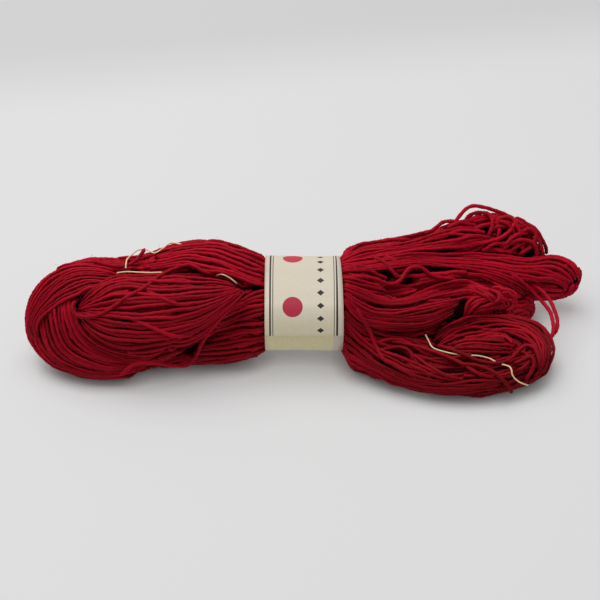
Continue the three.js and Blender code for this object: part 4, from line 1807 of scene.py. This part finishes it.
    def chains(self, name: str, strands: list[Array], rng: np.random.Generator) -> Object:
        """A mesh of bare edges along some strands, with each point's tint and girth.

        Args:
            name: the mesh's name.
            strands: points along each strand and its girth there.
            rng: the seeded source of each strand's tint.

        Returns:
            The mesh object.
        """
        mesh = bpy.data.meshes.new(name)
        rows = np.vstack(strands)
        starts = np.cumsum([0] + [len(s) for s in strands])
        edges = [(i, i + 1) for a, b in zip(starts[:-1], starts[1:]) for i in range(a, b - 1)]
        mesh.from_pydata(framed(rows[:, :3]).tolist(), edges, [])
        tints = np.concatenate([np.full(len(s), rng.uniform(0, 1)) for s in strands])
        for kind, values in (("tint", tints), ("girth", rows[:, 3])):
            numbers = np.ascontiguousarray(values, np.float32)
            mesh.attributes.new(kind, "FLOAT", "POINT").data.foreach_set("value", numbers)
        return placed(name, mesh)

    def spin(
        self, name: str, strands: list[Array], rng: np.random.Generator, **settings: object
    ) -> Object:
        """Makes one mesh of the yarn along some strands.

        Args:
            name: the piece's name.
            strands: points along each strand, mm from the middle of the band, and its girth there.
            rng: the seeded source of each strand's tint.
            settings: values for the tree's inputs, with _ for a space.

        Returns:
            The finished piece.
        """
        carrier = self.chains(name + "_chains", strands, rng)
        modifier = carrier.modifiers.new("spin", "NODES")
        modifier.node_group = self.tree
        for item in self.tree.interface.items_tree:
            key = item.name.replace(" ", "_")
            if item.in_out == "INPUT" and key in settings:
                modifier[item.identifier] = settings[key]
        made = baked(carrier, name)
        for spare in ("along", "around", "girth"):
            if spare in made.data.attributes:
                made.data.attributes.remove(made.data.attributes[spare])
        return made


def baked(carrier: Object, name: str) -> Object:
    """Turns an object with live nodes into a plain mesh object and removes the first.

    Args:
        carrier: the object with live nodes.
        name: the new object's name.

    Returns:
        The new object.
    """
    bpy.context.view_layer.update()
    graph = bpy.context.evaluated_depsgraph_get()
    mesh = bpy.data.meshes.new_from_object(carrier.evaluated_get(graph), depsgraph=graph)
    mesh.name = name
    made = placed(name, mesh)
    bpy.data.objects.remove(carrier)
    return made


# ---- Pieces ---------------------------------------------------------------------------------


@dataclass
class Hank:
    """The wound yarn: its inside, painted dark as shade, and its strands.

    shrink, rounds: how far the inside lies within the solid, mm, and how often it is smoothed.
    combed_wobble, stray_wobble: how far strands stray from their smooth lines, m.
    combed_hairs, wound_hairs: loose fibres to each mm of a strand in front, and of one wound round.
    wound_step: from one ring of a wound strand to the next, m.
    hair_length, hair_bend: how long and how bent a loose fibre is, mm and shares of its length.
    hair_way, hair_floor: how much it points away from its strand and along it, and how low it
        may go, mm.
    """

    yarn: Material
    inside: Material
    # the loose fibres' material, painted lighter as light shining through them
    lit_haze: Material
    view: View
    shrink: float = 2.2
    rounds: int = 3
    combed_wobble: float = 0.0003
    stray_wobble: float = 0.0002
    combed_hairs: float = 0.42
    wound_hairs: float = 0.08
    wound_step: float = 0.002
    hair_points: int = 4
    hair_length: tuple[float, float] = (1.0, 2.8)
    hair_bend: float = 0.6
    hair_way: tuple[float, float] = (0.55, 0.8)
    hair_floor: float = 0.1

    # How the loose fibres are spun, m and numbers.
    HAIR = {
        "Thickness": 0.0001, "Sides": 3, "Step": 0.0014, "Flatness": 1.0, "Wobble": 0.0002, "Taper": 0.0004,
    }

    @staticmethod
    def moved(shape: bmesh.types.BMesh, places: Array) -> None:
        """Puts a mesh's points at places in mm from the middle of the band."""
        for vert, place in zip(shape.verts, framed(places)):
            vert.co = place

    def core(self) -> Object:
        """The inside, painted dark as the shade between strands, a little smaller than the solid.

        Returns:
            The inside.
        """
        mesh = frame["nodes"]["hank"].data.copy()
        mesh.name = "yarn_inside"
        made = placed("yarn_inside", mesh)
        shape = bmesh.new()
        shape.from_mesh(mesh)
        bmesh.ops.remove_doubles(shape, verts=shape.verts, dist=1e-5)
        shape.normal_update()
        facing = [face.normal.copy() for face in shape.faces]
        drawn_in = np.array([v.co - v.normal * self.shrink * MM for v in shape.verts])
        self.moved(shape, self.view.sunk(from_band(drawn_in)))
        shape.normal_update()
        thin = [face for face, normal in zip(shape.faces, facing) if face.normal.dot(normal) < 0]
        LOG.info("inside: %d of %d faces are thinner than the strands and go", len(thin), len(facing))
        bmesh.ops.delete(shape, geom=thin, context="FACES")
        for _ in range(self.rounds):
            bmesh.ops.smooth_vert(
                shape, verts=shape.verts, factor=0.5, use_axis_x=True, use_axis_y=True, use_axis_z=True
            )
        self.moved(shape, settled(from_band(np.array([v.co for v in shape.verts])), self.shrink))
        shape.to_mesh(mesh)
        shape.free()
        mesh.materials.clear()
        mesh.materials.append(self.inside)
        return made

    def fuzz(self, strands: Iterable[Array], per_mm: float, rng: np.random.Generator) -> list[Array]:
        """Fine fibres that stand off some strands.

        Args:
            strands: the strands.
            per_mm: how many fibres there are to the mm.
            rng: the seeded source of their places.

        Returns:
            Each fibre's points and girth.
        """
        hairs = []
        steps = np.linspace(0, 1, self.hair_points)[:, None]
        for strand in strands:
            for _ in range(rng.poisson(lengths(strand)[-1] * per_mm)):
                i = rng.integers(1, len(strand) - 1)
                ahead = strand[i + 1, :3] - strand[i - 1, :3]
                away = rng.normal(size=3)
                away -= ahead * (away @ ahead) / (ahead @ ahead)
                away /= np.linalg.norm(away)
                ahead /= np.linalg.norm(ahead)
                root = strand[i, :3] + away * YARN * SURFACE
                long = rng.uniform(*self.hair_length)
                bend = rng.uniform(-self.hair_bend, self.hair_bend, 3)
                way = away * self.hair_way[0] + ahead * self.hair_way[1]
                hair = root + way * long * steps + bend * steps**2 * long
                hair[:, 2] = np.maximum(hair[:, 2], self.hair_floor)
                hairs.append(np.column_stack([hair, np.ones(self.hair_points)]))
        return hairs

    def build(self, spinner: YarnTree) -> list[Object]:
        """Builds the inside and every strand, sheet by sheet and bundle by bundle.

        Args:
            spinner: the tree that makes the yarn.

        Returns:
            Every piece.
        """
        solid = frame["nodes"]["hank"].data
        tree = BVHTree.FromPolygons([v.co for v in solid.vertices], [p.vertices for p in solid.polygons])
        tints, loose = np.random.default_rng(5), np.random.default_rng(8)
        core = self.core()
        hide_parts("hank")
        pieces = [core]
        layer = Layer(tree, self.view)
        sheets = {comb.name: layer.comb(comb) for comb in COMBS}
        strays = [layer.stray(lift, in_view(guide)) for lift, guide in STRAYS.values()]
        laid = [strand for sheet in sheets.values() for strand in sheet]
        combed = {"Material": self.yarn, "Wobble": self.combed_wobble}
        for name, sheet in sheets.items():
            pieces.append(spinner.spin("combed_" + name, sheet, tints, **combed))
        single = {"Material": self.yarn, "Wobble": self.stray_wobble}
        pieces.append(spinner.spin("strays", strays, tints, **single))
        hairs = self.fuzz([*strays, *laid], self.combed_hairs, loose)
        winder = Winder(tree, nearby(laid), self.view)
        wound = {"Material": self.yarn, "Step": self.wound_step}
        for bundle in BUNDLES:
            strands = winder.wind(bundle)
            hairs += self.fuzz(strands, self.wound_hairs, loose)
            pieces.append(spinner.spin("strands_" + bundle.name, strands, tints, **wound))
            total = sum(lengths(s)[-1] for s in strands) * MM
            LOG.info("%s: %d strands, %.1f m", bundle.name, len(strands), total)
        pieces.append(spinner.spin("fuzz", hairs, tints, Material=self.lit_haze, **self.HAIR))
        slack = [spline(np.array([(*row, 1) for row in rows], float), 4) for rows in SLACK.values()]
        pieces.append(spinner.spin("strands_slack", slack, tints, **combed))
        return pieces


@dataclass
class PaperBand:
    """The paper strip round the waist.

    thick, stand: the paper's thickness, and how far it stands off the waist, mm.
    seam, overlap: where its outer end lies and how far it goes over the inner one, degrees.
    step_down, lap_rise: how soon, in degrees, and how far, in thicknesses, the lap steps out.
    flare, ripple: how far its edges stand out, and how far it waves, mm.
    bow, bow_middle: how far its right edge curves sideways, mm, and where it doesn't.
    """

    paper: Material
    thick: float = 0.28
    stand: float = 0.35
    seam: float = -4.0
    overlap: float = 42.0
    step_down: float = 8.0
    lap_rise: float = 1.4
    flare: float = 0.25
    ripple: float = 0.12
    bow: float = 1.2
    bow_middle: float = 0.4
    columns: int = 12
    rows_per_turn: int = 96

    @property
    def sweep(self) -> float:
        """How far the paper goes round, degrees."""
        return 360 + self.overlap

    @property
    def rows(self) -> int:
        """How many rows of faces go round."""
        return int(self.rows_per_turn * self.sweep / 360)

    def corner(self, skin: int, i: int, j: int) -> int:
        """The number of a point, by its skin, its row round the band and its column across."""
        return (skin * (self.rows + 1) + i) * (self.columns + 1) + j

    def place(self, skin: int, turned: float, share: float) -> Array:
        """Where a point of the paper is.

        Args:
            skin: 0 on the paper's inner side, 1 on its outer side.
            turned: how far round from its outer end, degrees.
            share: how far across, from 0 to 1.

        Returns:
            The place in the shared frame, m.
        """
        angle = math.radians(self.seam + turned)
        lap = np.clip((self.overlap - turned) / self.step_down + 0.5, 0, 1)
        proud = self.stand + self.thick * (self.lap_rise * lap + skin) + self.flare * (2 * share - 1) ** 2
        proud += self.ripple * math.sin(3 * angle + 5 * share)
        bow = self.bow * (math.cos(angle) - self.bow_middle) if share == 1 else 0
        x = BAND_MIDDLE + BAND_WIDTH * (share - 0.5) + bow
        y = -(WAIST_DEEP + proud) * math.cos(angle)
        z = WAIST_HEIGHT + (WAIST_TALL + proud) * math.sin(angle)
        return framed(np.array((x, y, z)))

    def faces(self) -> list[tuple[int, ...]]:
        """Both skins, and the four cut edges between them.

        Returns:
            The corner numbers of each face.
        """
        at, skin = self.corner, self.corner(1, 0, 0)
        faces = []
        for i in range(self.rows):
            for j in range(self.columns):
                outer = at(1, i, j), at(1, i, j + 1), at(1, i + 1, j + 1), at(1, i + 1, j)
                faces += [outer, tuple(v - skin for v in reversed(outer))]
            for j in (0, self.columns):
                a, b, c, d = at(0, i, j), at(0, i + 1, j), at(1, i + 1, j), at(1, i, j)
                faces.append((a, d, c, b) if j == 0 else (a, b, c, d))
        for i in (0, self.rows):
            for j in range(self.columns):
                a, b, c, d = at(0, i, j), at(0, i, j + 1), at(1, i, j + 1), at(1, i, j)
                faces.append((a, b, c, d) if i == 0 else (a, d, c, b))
        return faces

    def build(self) -> Object:
        """A closed thin sheet wound once round, with its outer end lapped over the inner one.

        Returns:
            The band.
        """
        around = (WAIST_DEEP + WAIST_TALL) / 2 / BAND_WIDTH
        verts, uvs = [], []
        for skin in (0, 1):
            for i in range(self.rows + 1):
                turned = self.sweep * i / self.rows
                for j in range(self.columns + 1):
                    share = j / self.columns
                    verts.append(self.place(skin, turned, share))
                    uvs.append((share, math.radians(turned) * around))
        mesh = bpy.data.meshes.new("band")
        mesh.from_pydata(verts, [], self.faces())
        uv_layer = mesh.uv_layers.new(name=UV_MAP)
        for loop in mesh.loops:
            uv_layer.data[loop.index].uv = uvs[loop.vertex_index]
        mesh.materials.append(self.paper)
        mesh.shade_smooth()
        return placed("band", mesh)


@dataclass
class Ties:
    """The gold threads that show, and the free ends of the yarn."""

    thread: Material
    yarn: Material
    per_row: int = 5
    roundness: int = 3
    end_taper: float = 0.0008

    def thread_curve(self, name: str, rows: Line) -> Object:
        """A round thread along its route.

        Args:
            name: the node that it stands for.
            rows: points along it, mm from the middle of the band.

        Returns:
            The thread.
        """
        points = framed(spline(np.array(rows, float), self.per_row))
        curve = bpy.data.curves.new(name + "_thread", "CURVE")
        curve.dimensions = "3D"
        curve.bevel_depth = TIE * MM / 2
        curve.bevel_resolution = self.roundness
        curve.use_fill_caps = True
        line = curve.splines.new("POLY")
        line.points.add(len(points) - 1)
        line.points.foreach_set("co", np.column_stack([points, np.ones(len(points))]).ravel())
        curve.materials.append(self.thread)
        made = placed(name + "_thread", curve)
        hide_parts(name)
        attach(made, "root")
        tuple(points[0])
        lengths(points)[-1]
        return made

    def yarn_end(self, name: str, rows: Line, spinner: YarnTree) -> Object:
        """A free end of the yarn along its route.

        Args:
            name: the node that it stands for.
            rows: points along it, mm from the middle of the band.
            spinner: the tree that makes the yarn.

        Returns:
            The piece.
        """
        strand = spline(np.array([(*row, 1) for row in rows], float), self.per_row)
        made = spinner.spin(
            name + "_yarn", [strand], np.random.default_rng(2), Material=self.yarn, Wobble=0.0,
            Taper=self.end_taper,
        )
        path = framed(strand[:, :3])
        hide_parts(name)
        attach(made, "root")
        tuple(path[0])
        lengths(path)[-1]
        return made

    def build(self, spinner: YarnTree) -> None:
        """Builds every thread and yarn end.

        Args:
            spinner: the tree that makes the yarn.
        """
        for name, rows in TIES.items():
            self.thread_curve(name, rows)
        for name, rows in YARN_ENDS.items():
            self.yarn_end(name, rows, spinner)


@dataclass
class Studio:
    """A pale surface and soft light from above. Sizes are in m.

    half, rise, radius, height: half its width, where it starts to curve up, how tightly, and its top.
    lamp_place, lamp_size, lamp_power: the overhead light, m and W.
    room: how bright the surrounding light is.
    """

    floor: Material
    half: float = 2.5
    rise: float = 0.75
    radius: float = 0.6
    height: float = 2.4
    lamp_place: tuple[float, float, float] = (-0.35, 0.14, 1.38)
    lamp_size: float = 1.6
    lamp_power: float = 22.0
    lamp_aim: tuple[float, float, float] = (0, 0, 0.02)
    room: float = 0.27

    def sweep(self) -> Object:
        """The surface, which curves up far behind.

        Returns:
            The surface.
        """
        profile = [(-self.half, 0.0), (self.rise, 0.0)]
        profile += [
            (self.rise + self.radius * math.sin(a), self.radius * (1 - math.cos(a)))
            for a in np.linspace(0.1, math.pi / 2, 12)
        ]
        profile.append((self.rise + self.radius, self.height))
        verts = [(x, y, z) for y, z in profile for x in (-self.half, self.half)]
        faces = [(2 * i, 2 * i + 1, 2 * i + 3, 2 * i + 2) for i in range(len(profile) - 1)]
        mesh = bpy.data.meshes.new("floor")
        mesh.from_pydata(verts, [], faces)
        mesh.materials.append(self.floor)
        mesh.shade_smooth()
        made = placed("floor", mesh)
        return made

    def light(self) -> Object:
        """The square area light, aimed at the hank.

        Returns:
            The light.
        """
        data = bpy.data.lights.new("overhead", "AREA")
        data.shape = "SQUARE"
        data.size = self.lamp_size
        data.energy = self.lamp_power
        lamp = placed("overhead", data)
        lamp.location = self.lamp_place
        aim = Vector(self.lamp_aim) - Vector(self.lamp_place)
        lamp.rotation_euler = aim.to_track_quat("-Z", "Y").to_euler()
        return lamp

    def build(self) -> None:
        """Builds the surface, the light and the surrounding light."""
        self.sweep()
        self.light()
        world = bpy.data.worlds.new("soft_room")
        world.use_nodes = True
        back = world.node_tree.nodes["Background"]
        back.inputs["Color"].default_value = (1, 1, 1, 1)
        back.inputs["Strength"].default_value = self.room
        bpy.context.scene.world = world
        bpy.context.scene.view_settings.view_transform = "Standard"


def main() -> None:
    """Builds the whole scene in order."""
    logging.basicConfig(level=logging.INFO, format="%(name)s %(message)s")
    view = View()
    view.build()
    fibres, dye = SpunFibres().group(), DyeAndPaintedShade().group()
    yarn = YarnFinish().material(fibres, dye)
    # the loose fibres' copy of the yarn, painted lighter and pinker as light shining through them
    lit_haze = YarnFinish("yarn_fuzz", deep=(0.45, 0.012, 0.05, 1), bright=(0.78, 0.05, 0.16, 1))
    spinner = YarnTree()
    Ties(ThreadFinish().material(), yarn).build(spinner)
    hank = Hank(yarn, PaintedShadeInsideFinish().material(), lit_haze.material(fibres, dye), view)
    for piece in hank.build(spinner):
        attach(piece, "root")
        LOG.info("%s: %d faces", piece.name, len(piece.data.polygons))
    band = PaperBand(PaperFinish().material()).build()
    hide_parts("paper_band")
    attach(band, "root")
    LOG.info("%s: %d faces", band.name, len(band.data.polygons))
    Studio(FloorFinish().material()).build()


if __name__ == "__main__":
    main()
